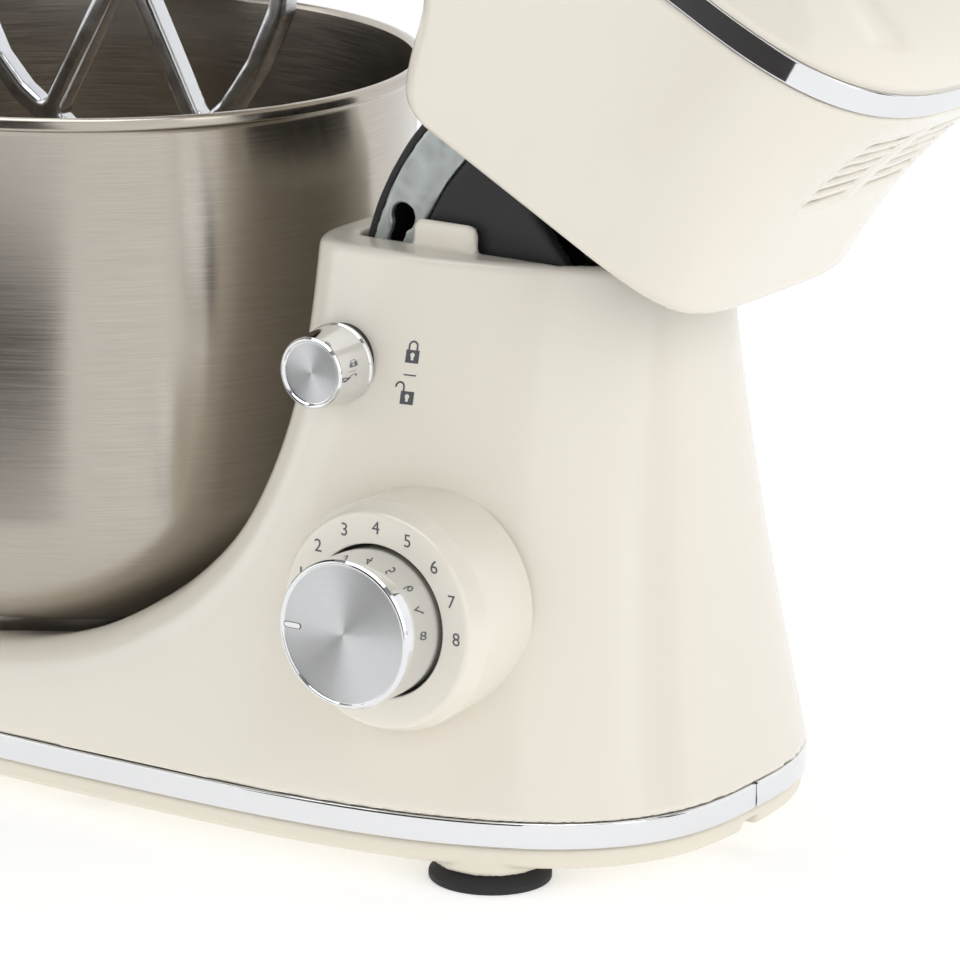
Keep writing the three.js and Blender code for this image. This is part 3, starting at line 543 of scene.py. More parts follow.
print_grey = moulded("printed_grey", linear(88, 90, 96), 0.35, 0.5, 1500, 4e-6, 0.03)
chrome = metal("polished_chrome", linear(232, 233, 235), 0.04, 0.075, 260, 1.2e-6, 0.01)
spun_chrome = spun("spun_chrome", linear(214, 215, 216), 0.34, 0.46, 3, 4200, 5e-6, 0.05, 0.92)
bowl_steel = spun("brushed_bowl", linear(184, 177, 167), 0.18, 0.27, 5, 3400, 6e-6, 0.11, 0.75)
foot_steel = spun("drawn_steel", linear(186, 180, 173), 0.25, 0.4, 8, 1500, 8e-6, 0.06, 0.5)
zinc = spangled("zinc_plate", linear(206, 212, 211))
machined = metal("machined_steel", linear(168, 170, 173), 0.22, 0.38, 1500, 8e-6, 0.05, (1, 1, 6))
cast = metal("cast_alloy", linear(205, 207, 210), 0.26, 0.4, 700, 2.2e-5, 0.04)
polished_cast = metal("polished_cast", linear(214, 216, 219), 0.13, 0.24, 380, 1.2e-5, 0.03)
laminated = metal("laminations", linear(120, 122, 126), 0.4, 0.55, 2600, 3e-5, 0.1, (0.1, 0.1, 3))
copper = metal("enamelled_copper", linear(178, 104, 60), 0.25, 0.4, 2400, 4e-5, 0.12,
               (0.15, 0.15, 2), Coat_Weight=0.6)

SLOT_LOOKS = {
    "cream_shell": cream, "cream_cover": cream_satin, "black_skirt": black_matt,
    "chrome_trim": chrome, "chrome_knob": chrome, "bowl_steel": foot_steel, "zinc_steel": zinc,
    "machined_steel": machined, "cast_aluminium": cast, "laminations": laminated,
    "foot_rubber": rubber, "copper": copper, "circuit_board": board, "nylon": nylon,
}
for entry in frame["record"]["subparts"]:
    node = frame["nodes"][entry["node"]]
    node.data.materials.clear()
    node.data.materials.append(SLOT_LOOKS[entry["material_slot"]])
for name in ("speed_switch", "cooling_fan", "motor_brush_near", "motor_brush_far"):
    frame["nodes"][name].data.materials[0] = bakelite

# ---- Stand ------------------------------------------------------------------------------------
SWEEP_RISE = Curve([(-130, 44.8), (-60, 46.2), (20, 49), (40, 53.5), (63, 60), (80, 68.5),
                    (93, 78), (105, 91)])
SWEEP_REACH = Curve([(60, 63), (68.5, 80), (78, 93), (91, 105), (109.6, 114.6), (134, 120.6),
                     (156, 122), (186, 120.7)])
BASE_PLAN = (90, -112, 253, 92, 2.8, 2.8)


def front_distance(x, z):
    """Distance to the deck in front, which sweeps up into the front of the pedestal."""
    rise, tilt = SWEEP_RISE.at(x)
    reach, lean = SWEEP_REACH.at(z)
    share = ease((z - 66) / 26)
    return (1 - share) * (z - rise) / np.hypot(1, tilt) + share * (reach - x) / np.hypot(1, lean)


def stand_body(x, y, z, inset=0.0):
    """The stand as one full body; t goes from 0 at the shell's foot to 1 at its rim."""
    t = np.clip((z - SHELL_LOW) / (RIM - SHELL_LOW), 0, 1.06)
    rear = 234.5 + 18.5 * np.maximum(1 - t, 0) ** 1.6
    half = 92 - 38 * t ** 1.15
    side = plan_distance(x, y, 90 + 60 * t, -112, rear, half, 2.8, 2.8 - 0.8 * t) + inset
    front = front_distance(x, z) + inset
    size, power = 29.0, 3.2
    u, v = np.maximum(side / size + 1, 0), np.maximum(front / size + 1, 0)
    edge = size * (u ** power + v ** power) ** (1 / power)
    return np.minimum(-size, np.maximum(side, front)) + edge


def bowl_recess(x, y, z, grow=0.0):
    """The round recess for the bowl, with a well for the clips under it."""
    r = np.hypot(x, y)
    wall = np.where(z >= 95, r - 112, np.where(r > 65, np.hypot(r - 65, z - 95) - 47, 48 - z))
    well = meet(r - 68, 36 - z, 2.0)
    return both(wall, well, 2.5) - grow


def stand_field(x, y, z):
    outer = less(stand_body(x, y, z), bowl_recess(x, y, z), 3.0)
    outer = meet(outer, z - RIM, 2.6)
    hollow = np.maximum(stand_body(x, y, z, 5.2), -bowl_recess(x, y, z, 4.5))
    mouth = meet(meet(131.6 - x, x - 229, 5), np.abs(y) - 38.9, 5)
    mouth = np.maximum(mouth, stand_body(x, y, np.minimum(z, RIM), 3.0))
    hollow = np.minimum(np.maximum(hollow, z - (RIM - 4)), np.maximum(mouth, RIM - 20 - z))
    solid = less(outer, hollow, 0.9)
    u, v = np.abs(x - 165.6) - 11.1, z - 192
    tab = np.maximum(meet(u, v, 3.2), np.maximum(178 - z, np.abs(np.abs(y) - 40.2) - 1.2))
    solid = both(solid, tab, 0.8)
    for at_x, at_z, size in ((DIAL_X, DIAL_Z, 6), (LOCK_X, LOCK_Z, 8)):
        hole = np.maximum(np.hypot(x - at_x, z - at_z) - size, y + 30)
        solid = np.maximum(solid, -hole)
    out = 0.474 * (x - 215) + 0.88 * (y - 71.4)
    inlet = np.maximum(np.hypot(0.88 * (x - 215) - 0.474 * (y - 71.4), z - 36) - 5.5, -20 - out)
    spigot = np.maximum(np.hypot(x, y) - 9, z - 60)
    solid = np.maximum(solid, -np.minimum(inlet, spigot))
    return np.maximum(solid, SHELL_LOW - z)


piece("stand_shell", *grid_mesh(stand_field, (-113, -94, 23), (254, 94, 193), 1.35), DRAWN, "root",
      cream, "cream_shell", ["stand_housing"])


def cover_field(x, y, z):
    """The bottom cover: a tray with seats for the feet, screw posts and a notch at the back."""
    edge = plan_distance(x, y, *BASE_PLAN)
    outer = meet(meet(edge + 1.4, BASE_LOW - z, 3.2), z - (BAND_LOW - 0.35), 0.3)
    upstand = np.maximum(edge + 4.2, np.maximum(z - BAND_TOP, 10 - z))
    inside = np.maximum(edge + 6.5, 11 - z)
    solid = np.maximum(np.minimum(outer, upstand), -inside)
    for at_x in (-55, 197):
        side = 58 if at_x < 0 else 61
        r = np.hypot(x - at_x, np.abs(y) - side)
        solid = both(solid, np.maximum(r - 17, np.maximum(5.6 - z, z - 9)), 0.8)
        solid = np.maximum(solid, 5.4 - r)
    for at_x, at_y in ((-78, 0), (60, 70), (222, 0)):
        r = np.hypot(x - at_x, np.abs(y) - at_y)
        solid = np.minimum(solid, np.maximum(r - 5, np.maximum(9 - z, z - 20)))
        solid = np.maximum(solid, -np.maximum(r - 4, z - 12))
        solid = np.maximum(solid, 2.3 - r)
    notch = np.maximum(np.abs(y) - 4.5, np.maximum(240 - x, z - 11.5))
    return less(solid, notch, 1.2)


piece("base_cover", *grid_mesh(cover_field, (-112, -92, 5), (252, 92, 24), 1.3), DRAWN, "root",
      cream_satin, "cream_cover", ["bottom_cover"])

BAND_SECTION = rounded([(2, BAND_LOW), (0, BAND_LOW, 0.9), (0, BAND_TOP, 0.9), (3.8, BAND_TOP),
                        (3.8, BAND_LOW), (2, BAND_LOW)], 4)[:-1]
for tag, side in (("near", -1), ("far", 1)):
    piece(f"base_band_{tag}", *band(BASE_PLAN, BAND_SECTION, 480, side), DRAWN, "root", chrome,
          "chrome_trim", [f"base_trim_{tag}"], even=True)

FOOT_PROFILE = rounded([(0, 2), (9, 2, 1), (15.5, 0, 0.4), (18.5, 0, 0.7), (18.5, 2.2, 0.8),
                        (15, 5.2, 1), (5, 5.2, 0.3), (5, 13.4, 0.4), (0, 13.4)])
for k in range(4):
    spot = middle(f"suction_foot_{k + 1}")
    piece(f"rubber_foot_{k + 1}", *lathe(FOOT_PROFILE, 72),
          Matrix.Translation((spot.x, spot.y, 0)), "root", rubber, "foot_rubber",
          [f"suction_foot_{k + 1}"], even=True)

# ---- Controls ---------------------------------------------------------------------------------


def facing_controls(x, z):
    """Local Z comes out of the controls' side; local Y is up."""
    return DRAWN @ moved(x, 0, z) @ Matrix.Rotation(math.pi / 2, 4, "X")


dial_place, lock_place = facing_controls(DIAL_X, DIAL_Z), facing_controls(LOCK_X, LOCK_Z)
collar = rounded([(23.2, 62), (23.2, 93.7, 0.7), (32.4, 93.7, 2.2), (34.9, 86.5, 3),
                  (34.6, 62, 0.5), (23.2, 62)], 6)
piece("dial_bezel", *lathe(collar, 160), dial_place, "root", cream, "cream_shell",
      ["dial_collar"], even=True)
dial = rounded([(0, 110.5), (20.7, 110.5, 0.3), (21.1, 111, 0.3), (21.8, 111, 0.6),
                (22.4, 110, 0.6), (22.4, 88.5, 0.6), (0, 88.5)], 5)
dial_body = piece("dial_knob", *lathe(dial, 192), dial_place, "dial", chrome, "chrome_knob",
                  ["speed_dial"], even=True, axes=True)


def satin_face(obj, height, radius, look):
    """The turned end of a knob gets its own finish."""
    obj.data.materials.append(look)
    for face in obj.data.polygons:
        away = math.hypot(face.center.x, face.center.y)
        if face.center.z > height * MM and away < radius * MM:
            face.material_index = 1


satin_face(dial_body, 110.4, 20.6, spun_chrome)


def capsule(x0, x1, radius, steps=9):
    turn = np.linspace(math.pi / 2, 1.5 * math.pi, steps)
    return ([(x0 + radius * math.cos(a), radius * math.sin(a)) for a in turn]
            + [(x1 - radius * math.cos(a), -radius * math.sin(a)) for a in turn])


def arc(radius, start, end, steps, centre=(0, 0)):
    return [(centre[0] + radius * math.cos(a), centre[1] + radius * math.sin(a))
            for a in np.radians(np.linspace(start, end, steps + 1))]


pointer = slab_mesh("dial_pointer", [capsule(-19.8, -15.8, 0.75)], 0.2, 0.06)
put("dial_pointer", pointer, DRAWN @ moved(DIAL_X, -110.56, DIAL_Z), "dial", print_white)
groove = slab_mesh("dial_pointer_edge", [capsule(-20.0, -15.6, 0.95)], 0.12, 0.04)
put("dial_pointer_edge", groove, DRAWN @ moved(DIAL_X, -110.52, DIAL_Z), "dial", print_grey)


def together(name, parts):
    """One mesh from several, each given with its own move."""
    work = bmesh.new()
    for mesh, move in parts:
        mesh.transform(move)
        work.from_mesh(mesh)
    whole = bpy.data.meshes.new(name)
    work.to_mesh(whole)
    work.free()
    return whole


NUMERAL_RING, NUMERAL_SIZE, NUMERAL_STEP = 28.2, 0.0056, 23      # mm, metres, degrees
numerals = []
for number in range(1, 9):
    text = bpy.data.curves.new("numeral", "FONT")
    text.body, text.size = str(number), NUMERAL_SIZE
    text.align_x, text.align_y = "CENTER", "CENTER"
    text.extrude, text.resolution_u = 0.00004, 6
    angle = math.radians(90 + NUMERAL_STEP * (4 - number))
    numerals.append((curve_mesh(text, Matrix.Rotation(math.pi / 2, 4, "X")),
                     moved(NUMERAL_RING * math.cos(angle), 0, NUMERAL_RING * math.sin(angle))))
put("dial_numerals", together("dial_numerals", numerals), DRAWN @ moved(DIAL_X, -93.73, DIAL_Z),
    "root", print_grey)

knob = rounded([(0, 77.9), (9.2, 77.9, 0.8), (9.7, 78.6, 0.4), (10.2, 79, 0.6), (10.9, 78, 0.9),
                (12.0, 65.0, 0.6), (12.5, 64.4, 0.4), (12.5, 63.4, 0.3), (0, 63.4)], 5)
knob_body = piece("lock_button", *lathe(knob, 128), lock_place, "lock", chrome, "chrome_knob",
                  ["lock_knob"], even=True, axes=True)
satin_face(knob_body, 77.6, 9.1, spun_chrome)
lock_skirt = rounded([(8.2, 57), (11.6, 57, 0.3), (11.6, 63.1, 0.3), (8.2, 63.1)], 4)
piece("lock_bezel", *lathe(lock_skirt, 96), lock_place, "root", black_matt, "black_skirt",
      even=True)


def skin_y(x, z):
    """Where the stand's skin is on the controls' side."""
    low, high = np.full(np.shape(x), -110.0), np.full(np.shape(x), -20.0)
    for _ in range(36):
        centre = (low + high) / 2
        outside = stand_body(x, centre, z) > 0
        low, high = np.where(outside, centre, low), np.where(outside, high, centre)
    return (low + high) / 2


def padlock(at_x, at_z, opened):
    """A padlock sign: a body with a keyhole, and a shackle."""
    body = [(-2.1, -2.3), (2.1, -2.3), (2.1, 1.5), (-2.1, 1.5)]
    hole = arc(0.75, -50, 230, 8) + [(-0.4, -1.5), (0.4, -1.5)]
    shift = -2.6 if opened else 0
    outer, inner = arc(1.55, 0, 180, 10, (shift, 2.7)), arc(1.0, 180, 0, 10, (shift, 2.7))
    end = 2.4 if opened else 1.45
    shackle = [(shift + 1.55, 1.45), *outer, (shift - 1.55, end), (shift - 1.0, end), *inner,
               (shift + 1.0, 1.45)]
    return [[[(at_x + u, at_z + v) for u, v in line] for line in shape]
            for shape in ([body, hole], [shackle])]


def printed(name, shapes, look):
    """Flat shapes laid on the stand's skin."""
    parts = []
    for shape in shapes:
        mesh = slab_mesh(name, shape, 0.2, 0.0)
        work = bmesh.new()
        work.from_mesh(mesh)
        bmesh.ops.triangulate(work, faces=work.faces)
        long_edges = [e for e in work.edges if e.calc_length() > 0.0012]
        bmesh.ops.subdivide_edges(work, edges=long_edges, cuts=2)
        work.to_mesh(mesh)
        work.free()
        co = np.array([v.co for v in mesh.vertices]) * 1000
        co[:, 1] = skin_y(co[:, 0], co[:, 2]) + np.where(co[:, 1] < 0, -0.05, 0.15)
        mesh.vertices.foreach_set("co", (co * MM).ravel())
        parts.append((mesh, Matrix.Identity(4)))
    put(name, together(name, parts), DRAWN, "root", look)


ICON_X = LOCK_X + 23.6
line_mark = [[(ICON_X - 2.0, 149.6), (ICON_X + 2.0, 149.6), (ICON_X + 2.0, 150.0),
              (ICON_X - 2.0, 150.0)]]
printed("lock_signs", [*padlock(ICON_X, 155.6, False), line_mark,
                       *padlock(ICON_X, 143.6, True)], print_grey)

# ---- Hinge ------------------------------------------------------------------------------------


def round_hinge(x, z):
    """Radius about the hinge, and the angle up from straight ahead, in degrees."""
    dx, dz = x - HINGE_X, z - HINGE_Z
    return np.hypot(dx, dz), np.degrees(np.arctan2(dz, -dx))


def head_plan_distance(x, y, z):
    """Distance to the sides of the head's lower shell; t is 0 at its sill, 1 at the band."""
    t = np.clip((z - HEAD_LOW) / (HEAD_BAND - HEAD_LOW), 0, 1)
    rise = np.clip((HEAD_BAND - z) / 36, 0, 1)
    return plan_distance(x, y, 205, -88 + 18 * rise ** 2, 245.5 + 21.5 * t ** 2.2,
                         66.2 - 12.2 * (1 - t ** 0.9), 3.8, 4.6 - 1.6 * t)


def skirt_field(x, y, z):
    """Cheeks and drum about the hinge, open at the back, under a lid in the head's mouth."""
    r, up = round_hinge(x, z)
    back = x - np.interp(z, [104, 140, 170, 195.5], [178, 194, 206, 216])
    cheek = meet(r - 92.3, np.maximum((-44 - up) * 1.5, (up - 22.7) * 1.5), 1.5)
    cheek = meet(cheek, np.maximum(back, z - 195.5), 1.5)
    cheek = meet(cheek, np.abs(y) - 38, 1.2)
    hollow = np.maximum(np.maximum(r - 90.1, np.abs(y) - 33.6), 108 - x)
    seat = np.maximum(np.abs(r - PLATE_RADIUS) - 7.7, 35.5 - np.abs(y))
    seat = np.maximum(seat, np.maximum(-42.5 - up, up - 30))
    track = np.maximum(np.abs(r - SLOT_RADIUS) - 5, np.maximum(-39.9 - up, up + 2.1))
    arms = np.maximum(np.abs(np.abs(y) - 12.1) - 2.2, x - 212)
    lid = np.maximum(head_plan_distance(x, y, z) + 4.1, np.maximum(194 - z, z - 197))
    solid = np.minimum(np.maximum(cheek, -hollow), np.maximum(lid, 142 - x))
    return less(np.maximum(solid, -np.minimum(track, arms)), seat, 0.3)


piece("pivot_skirt", *grid_mesh(skirt_field, (128, -52, 100), (243, 52, 198), 1.3), RAISED, "head",
      black_matt, "black_skirt", ["hinge_skirt"])

SEAT_ANGLES = (-6.6, -35.4)


def sector_field(x, y, z):
    """The steel lock plate: a slot about the hinge with a round seat at each end."""
    r, up = round_hinge(x, z)
    mm = np.pi / 180 * SLOT_RADIUS
    flat = meet(np.abs(r - PLATE_RADIUS) - 7.4, np.maximum(-42 - up, up - 19) * mm, 1.0)
    past_ends = np.maximum(SEAT_ANGLES[1] - up, up - SEAT_ANGLES[0]) * mm
    slot = np.maximum(np.abs(r - SLOT_RADIUS) - 2.6, past_ends)
    for angle in np.radians(SEAT_ANGLES):
        gap = np.hypot(x - HINGE_X + SLOT_RADIUS * np.cos(angle),
                       z - HINGE_Z - SLOT_RADIUS * np.sin(angle))
        slot = np.minimum(slot, gap - 4.3)
    solid = less(flat, slot, 0.25)
    return meet(solid, np.abs(y - 37) - 1.2, 0.3)


SECTOR_MESH = grid_mesh(sector_field, (134, 35.8, 103), (157, 38.2, 188), 0.75)
for tag, side in (("near", -1), ("far", 1)):
    points, faces = SECTOR_MESH
    points = points * [1, side, 1]
    piece(f"lock_plate_{tag}", points, faces if side > 0 else faces[:, ::-1], RAISED, "head", zinc,
          "zinc_steel", [f"lock_sector_{tag}"])

# ---- Head -------------------------------------------------------------------------------------
JAW_REACH = Curve([(180, 135.5), (186, 133.2), (189.7, 130.4), (194.5, 128.5), (203, 126.8),
                   (216, 125), (225, 121.6), (231, 117)])
NOSE_RISE = Curve([(60, 237.5), (96, 237.5), (104, 236.9), (112, 234), (118, 229.6),
                   (122, 223.5), (125, 215)])


def jaw_distance(x, z):
    """Distance to the underside of the nose and the front of the jaw, negative above and behind."""
    rise, fall = NOSE_RISE.at(np.minimum(x, 130))
    reach, lean = JAW_REACH.at(z)
    share = ease((z - 216) / 14)
    return share * (rise - z) / np.hypot(1, fall) + (1 - share) * (reach - x) / np.hypot(1, lean)


def vents(x, y, z):
    """Six slots with slanted ends on each side of the back, and the shallow panel they sit in."""
    reach = np.abs(y)
    slots = np.full(np.shape(x), 99.0)
    for k in range(6):
        height = z - (230.5 + 5.3 * k)
        across = np.abs(reach + 0.9 * height - 17) - 11
        slots = np.minimum(slots, np.maximum(np.abs(height) - 0.95, across))
    panel = np.maximum(np.abs(reach - 17.5) - 14.2, np.abs(z - 243.7) - 17)
    return slots, panel, x - 225


def lower_shell_field(x, y, z):
    side = head_plan_distance(x, y, z)
    jaw = jaw_distance(x, z)
    sill = 3.2 + 2.3 * ease((x - 205) / 35)
    outer = meet(meet(side, HEAD_LOW - z, sill), jaw, 9.0)
    inner = meet(side + 3.6, jaw + 3.6, 5.4)
    slots, panel, behind = vents(x, y, z)
    outer = np.maximum(outer, -np.maximum(np.maximum(panel, -0.4 - side), -behind))
    solid = less(outer, inner, 0.8)
    mouth = np.maximum(np.hypot(x, y) - 49, np.abs(z - 236) - 12)
    solid = less(solid, mouth, 1.0)
    solid = less(solid, np.maximum(slots, -behind), 0.5)
    return meet(solid, z - (HEAD_BAND - 0.35), 0.5)


piece("head_shell_low", *grid_mesh(lower_shell_field, (-90, -67, 185), (268, 67, 273), 1.05),
      RAISED, "head", cream, "cream_shell", ["head_lower_shell"])

HEAD_PLAN = (205, -88, 267, 66.2, 3.8, 3)
strip = rounded([(1.5, HEAD_BAND), (0, HEAD_BAND, 0.8), (0, HEAD_COVER - 0.4, 0.8),
                 (3, HEAD_COVER - 0.4), (3, HEAD_BAND), (1.5, HEAD_BAND)], 4)[:-1]
piece("head_band", *band(HEAD_PLAN, strip, 480), RAISED, "head", chrome, "chrome_trim",
      ["head_trim"], even=True)


def dome():
    """The head's cover: a superellipsoid over the plan, with its inside."""
    count = 240
    points, rings = [], []

    def ring_at(share, height, inset):
        start = len(points)
        plan = (100 + 105 * share, 100 - 188 * share, 100 + 167 * share, 66.2 * share, 3.8, 3)
        for x, y in outline(plan, count, inset * share):
            points.append((x, y, height))
        rings.append(list(range(start, start + count)))

    def shape(inset, turns):
        for turn in turns:
            a = math.radians(turn)
            share, level = math.cos(a) ** 0.8, math.sin(a) ** 0.8
            ring_at(share, HEAD_COVER + (HEAD_TOP - HEAD_COVER - inset) * level, inset)

    shape(0, list(np.linspace(0, 86, 44)) + [88, 89.3])
    top = len(rings) - 1
    rings.append([len(points)] * count)
    points.append((100, 0, HEAD_TOP))
    bottom = len(rings)
    shape(2.5, list(np.linspace(0, 84, 20)) + [88])
    rings.append([len(points)] * count)
    points.append((100, 0, HEAD_TOP - 2.5))
    faces = []
    for low, high, flip in ([(rings[k], rings[k + 1], False) for k in range(top + 1)]
                            + [(rings[k], rings[k + 1], True)
                               for k in range(bottom, len(rings) - 1)]
                            + [(rings[bottom], rings[0], False)]):
        for i in range(count):
            j = (i + 1) % count
            corner = [low[i], low[j], high[j], high[i]]
            face = [v for n, v in enumerate(corner) if v != corner[n - 1]]
            faces.append(face[::-1] if flip else face)
    return points, faces


piece("head_shell_top", *dome(), RAISED, "head", cream, "cream_shell", ["head_upper_shell"])

# ---- Planetary hub and beater -------------------------------------------------------------------
hub = rounded([(0, 208), (39, 208, 2), (44.5, 210.6, 2.5), (46, 216, 4), (46, 238, 0.6),
               (42, 238, 0.4), (42, 214, 2), (12, 214, 0.4), (12, 238, 0.4), (0, 238)], 6)
piece("planet_hub", *lathe(hub, 160), RAISED, "carrier", chrome, "chrome_knob", ["carrier_hub"],
      even=True)
collar_ring = rounded([(5.4, 203.6), (9.8, 203.6, 0.6), (9.8, 207.6), (5.4, 207.6)], 4)
piece("spindle_collar", *lathe(collar_ring, 72), RAISED @ moved(PLANET_X, PLANET_Y, 0),
      "carrier", machined, "machined_steel", even=True)

BEATER_LOOP = [(0, 61.5), (14, 62.6), (27, 66.6), (40, 75), (51, 89), (57, 106), (59, 124),
               (57.6, 144), (52, 160), (41, 171), (27, 176.4), (12, 178), (0, 178.4)]


def stretch_distance(x, z, a, b):
    """Distance to the straight line from a to b."""
    ax, az, bx, bz = *a, *b
    along = (x - ax) * (bx - ax) + (z - az) * (bz - az)
    share = np.clip(along / ((bx - ax) ** 2 + (bz - az) ** 2), 0, 1)
    return np.hypot(x - ax - share * (bx - ax), z - az - share * (bz - az))


def beater_field(x, y, z):
    side = np.abs(x)
    loop = np.full(np.shape(x), 99.0)
    for a, b in zip(BEATER_LOOP, BEATER_LOOP[1:]):
        loop = np.minimum(loop, stretch_distance(side, z, a, b))
    ribs = np.minimum(stretch_distance(side, z, (0, 126), (52, 92)),
                      stretch_distance(x, z, (0, 61), (0, 185)))
    bars = both(loop - 3.3, ribs - 3.3, 3.0)
    bars = meet(bars, np.abs(y) - 4, 1.6)
    r = np.hypot(x, y)
    stem = meet(meet(r - 9.5, z - 205, 1.2), 176 - z, 3)
    solid = both(bars, stem, 4.0)
    bore = np.maximum(r - 4.35, 185.4 - z)
    slot = np.maximum(np.abs(y) - 1.85, 193.15 - z)
    return less(solid, np.minimum(bore, slot), 0.4)


piece("beater", *grid_mesh(beater_field, (-63.5, -10, 57), (63.5, 10, 206), 1.15),
      RAISED @ moved(PLANET_X, PLANET_Y, 0), "beater", polished_cast, "cast_aluminium",
      ["flat_beater"])

# ---- Bowl ---------------------------------------------------------------------------------------
BOWL_OUT, BOWL_IN = 107.5, 106.5      # radii of the wall
BOWL_FLAT, BEND_Z = 65, 95.1          # where the bottom's round starts, and its centre's height


def bowl_bend(radius, start, end):
    """The round between the bowl's flat bottom and its wall, in degrees from straight down."""
    return [(BOWL_FLAT + radius * math.sin(a), BEND_Z - radius * math.cos(a))
            for a in np.radians(np.linspace(start, end, 26))]


bowl_line = [(0, 52.6), (BOWL_FLAT, 52.6), *bowl_bend(42.5, 4, 90)]
bowl_line += [(BOWL_OUT, 150), (BOWL_OUT, 213)]
bowl_line += rounded([(BOWL_OUT, 213.6), (108.4, 214.6, 0.7), (110, 215.2, 1.2),
                      (110, 218.6, 1.6), (107.6, 219, 1.2), (BOWL_IN, 217.4, 1.2),
                      (BOWL_IN, 213)], 5)[1:]
bowl_line += [(BOWL_IN, 150), *bowl_bend(41.5, 90, 4), (BOWL_FLAT, 53.6), (0, 53.6)]
piece("mixing_bowl", *lathe(bowl_line, 288), DRAWN, "bowl", bowl_steel, "bowl_steel", ["bowl"],
      axes=True)
ring_line = rounded([(61.4, 40.35), (63.4, 40.35, 0.5), (63.4, 52.25, 0.6), (61.4, 52.25, 0.4),
                     (61.4, 40.35)], 3)
piece("bowl_base_ring", *lathe(ring_line, 160), DRAWN, "bowl", foot_steel, "bowl_steel",
      ["bowl_foot"], even=True, axes=True)
LUG = [(62.9, 41.2), (65.6, 41.2), (65.6, 44), (62.9, 44)]
for k in range(3):
    lug = slab_mesh(f"bowl_lug_{k + 1}", [LUG], 12, 0.4)
    put(f"bowl_lug_{k + 1}", lug, DRAWN @ Matrix.Rotation(2 * math.pi * k / 3, 4, "Z"), "bowl",
        foot_steel)

# ---- Camera, floor and light --------------------------------------------------------------------
CAMERA_PLACE, CAMERA_VIEW, CAMERA_ROLL = (0.9526, -1.4163, 0.5607), (-0.5196, 0.8129, -0.2632), 0.66
camera = bpy.data.objects.new("camera", bpy.data.cameras.new("camera"))
bpy.context.scene.collection.objects.link(camera)
forward = Vector(CAMERA_VIEW).normalized()
right = forward.cross(Vector((0, 0, 1))).normalized()
up = right.cross(forward)
roll = math.radians(CAMERA_ROLL)
right, up = (right * math.cos(roll) + up * math.sin(roll),
             up * math.cos(roll) - right * math.sin(roll))
camera.matrix_world = Matrix.Translation(CAMERA_PLACE) @ Matrix(
    (right, up, -forward)).transposed().to_4x4()
camera.data.lens, camera.data.sensor_width = 213, 36
camera.data.clip_start, camera.data.clip_end = 0.05, 60
bpy.context.scene.camera = camera


def stage_material(name, colour, glow):
    look = Look(name, linear(*colour), Roughness=0.9)
    look.tint(look.noise(2.0, 2), 0.01)
    look.shader.inputs["Emission Color"].default_value = (1, 1, 1, 1)
    look.shader.inputs["Emission Strength"].default_value = glow
    return look.material


def sweep(name, half, behind, height):
    """Floor and a wide curved backdrop all round, as one sheet."""
    points, faces = lathe(rounded([(0, 0), (half, 0, behind), (half + 0.01, height)], 16), 96)
    mesh = bpy.data.meshes.new(name)
    mesh.from_pydata(points, [], faces)
    mesh.polygons.foreach_set("use_smooth", [True] * len(mesh.polygons))
    obj = bpy.data.objects.new(name, mesh)
    bpy.context.scene.collection.objects.link(obj)
    return obj


floor = sweep("floor", 9.0, 3.0, 9.0)
floor.data.materials.append(stage_material("studio_white", (226, 226, 226), 0.46))


def panel(turn, away, low, high, wide):
    """Corners of an upright panel facing the object, turned about it from straight ahead."""
    a = math.radians(turn)
    middle_of = Vector((math.sin(a), -math.cos(a), 0)) * away
    along = Vector((math.cos(a), math.sin(a), 0)) * wide / 2
    return [middle_of + along * k + Vector((0, 0, z))
            for k, z in ((-1, low), (1, low), (1, high), (-1, high))]


def lying(start, end, near, far):
    """Corners of a strip of floor between two bearings and two distances."""
    return [Vector((math.sin(a), -math.cos(a), 0)) * away + Vector((0, 0, 0.004))
            for a, away in ((math.radians(start), near), (math.radians(end), near),
                            (math.radians(end), far), (math.radians(start), far))]


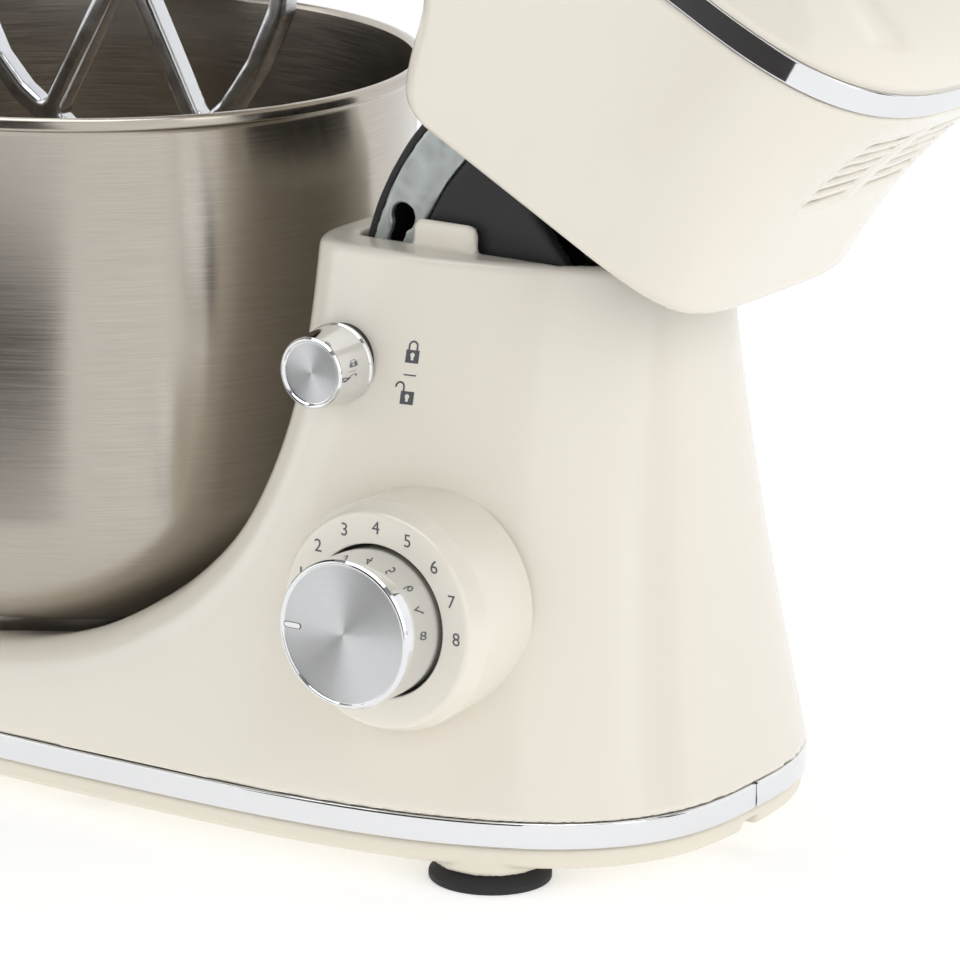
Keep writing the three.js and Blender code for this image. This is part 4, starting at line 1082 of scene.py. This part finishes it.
def flag(name, corners, look):
    """A panel that only reflections see."""
    mesh = bpy.data.meshes.new(name)
    mesh.from_pydata(corners, [], [(0, 1, 2, 3)])
    obj = bpy.data.objects.new(name, mesh)
    bpy.context.scene.collection.objects.link(obj)
    mesh.materials.append(look)
    obj.visible_camera = obj.visible_shadow = obj.visible_diffuse = False


def softbox(name, power, *where, tilt):
    corners = panel(*where)
    middle_of = sum(corners, Vector()) / 4
    light = bpy.data.lights.new(name, "AREA")
    light.shape = "RECTANGLE"
    light.size, light.size_y = (corners[1] - corners[0]).length, (corners[2] - corners[1]).length
    light.energy = power
    obj = bpy.data.objects.new(name, light)
    obj.location = middle_of
    target = Vector((0, 0, middle_of.z - tilt))
    obj.rotation_euler = (target - middle_of).to_track_quat("-Z", "Y").to_euler()
    bpy.context.scene.collection.objects.link(obj)


studio_dark = stage_material("studio_dark", (52, 48, 46), 0.0)
flag("flag_front", panel(-1, 2.6, 0.0, 3.2, 2.6), studio_dark)
flag("flag_floor", lying(-26, 24, 0.5, 2.6), studio_dark)
flag("flag_side", panel(97, 2.6, 0.0, 3.0, 1.2), studio_dark)
CEILING_Z, CEILING_HALF = 3.4, 1.8
ceiling = [Vector((x * CEILING_HALF, y * CEILING_HALF, CEILING_Z))
           for x, y in ((-1, -1), (1, -1), (1, 1), (-1, 1))]
flag("flag_above", ceiling, stage_material("studio_ceiling", (226, 226, 226), 1.5))
softbox("key_right", 7, 84, 2.2, 0.2, 2.3, 1.1, tilt=0.5)
softbox("key_left", 3, -62, 2.4, 0.4, 2.2, 0.9, tilt=0.5)
top = bpy.data.lights.new("top", "AREA")
top.shape, top.size, top.size_y, top.energy = "RECTANGLE", 1.6, 1.2, 4.5
top_box = bpy.data.objects.new("top", top)
top_box.location = (0, 0, 2.2)
bpy.context.scene.collection.objects.link(top_box)
world = bpy.data.worlds.new("studio")
bpy.context.scene.world = world
world.use_nodes = True
world.node_tree.nodes["Background"].inputs["Color"].default_value = (0.9, 0.92, 0.95, 1)
world.node_tree.nodes["Background"].inputs["Strength"].default_value = 0.28
bpy.context.scene.view_settings.view_transform = "Standard"
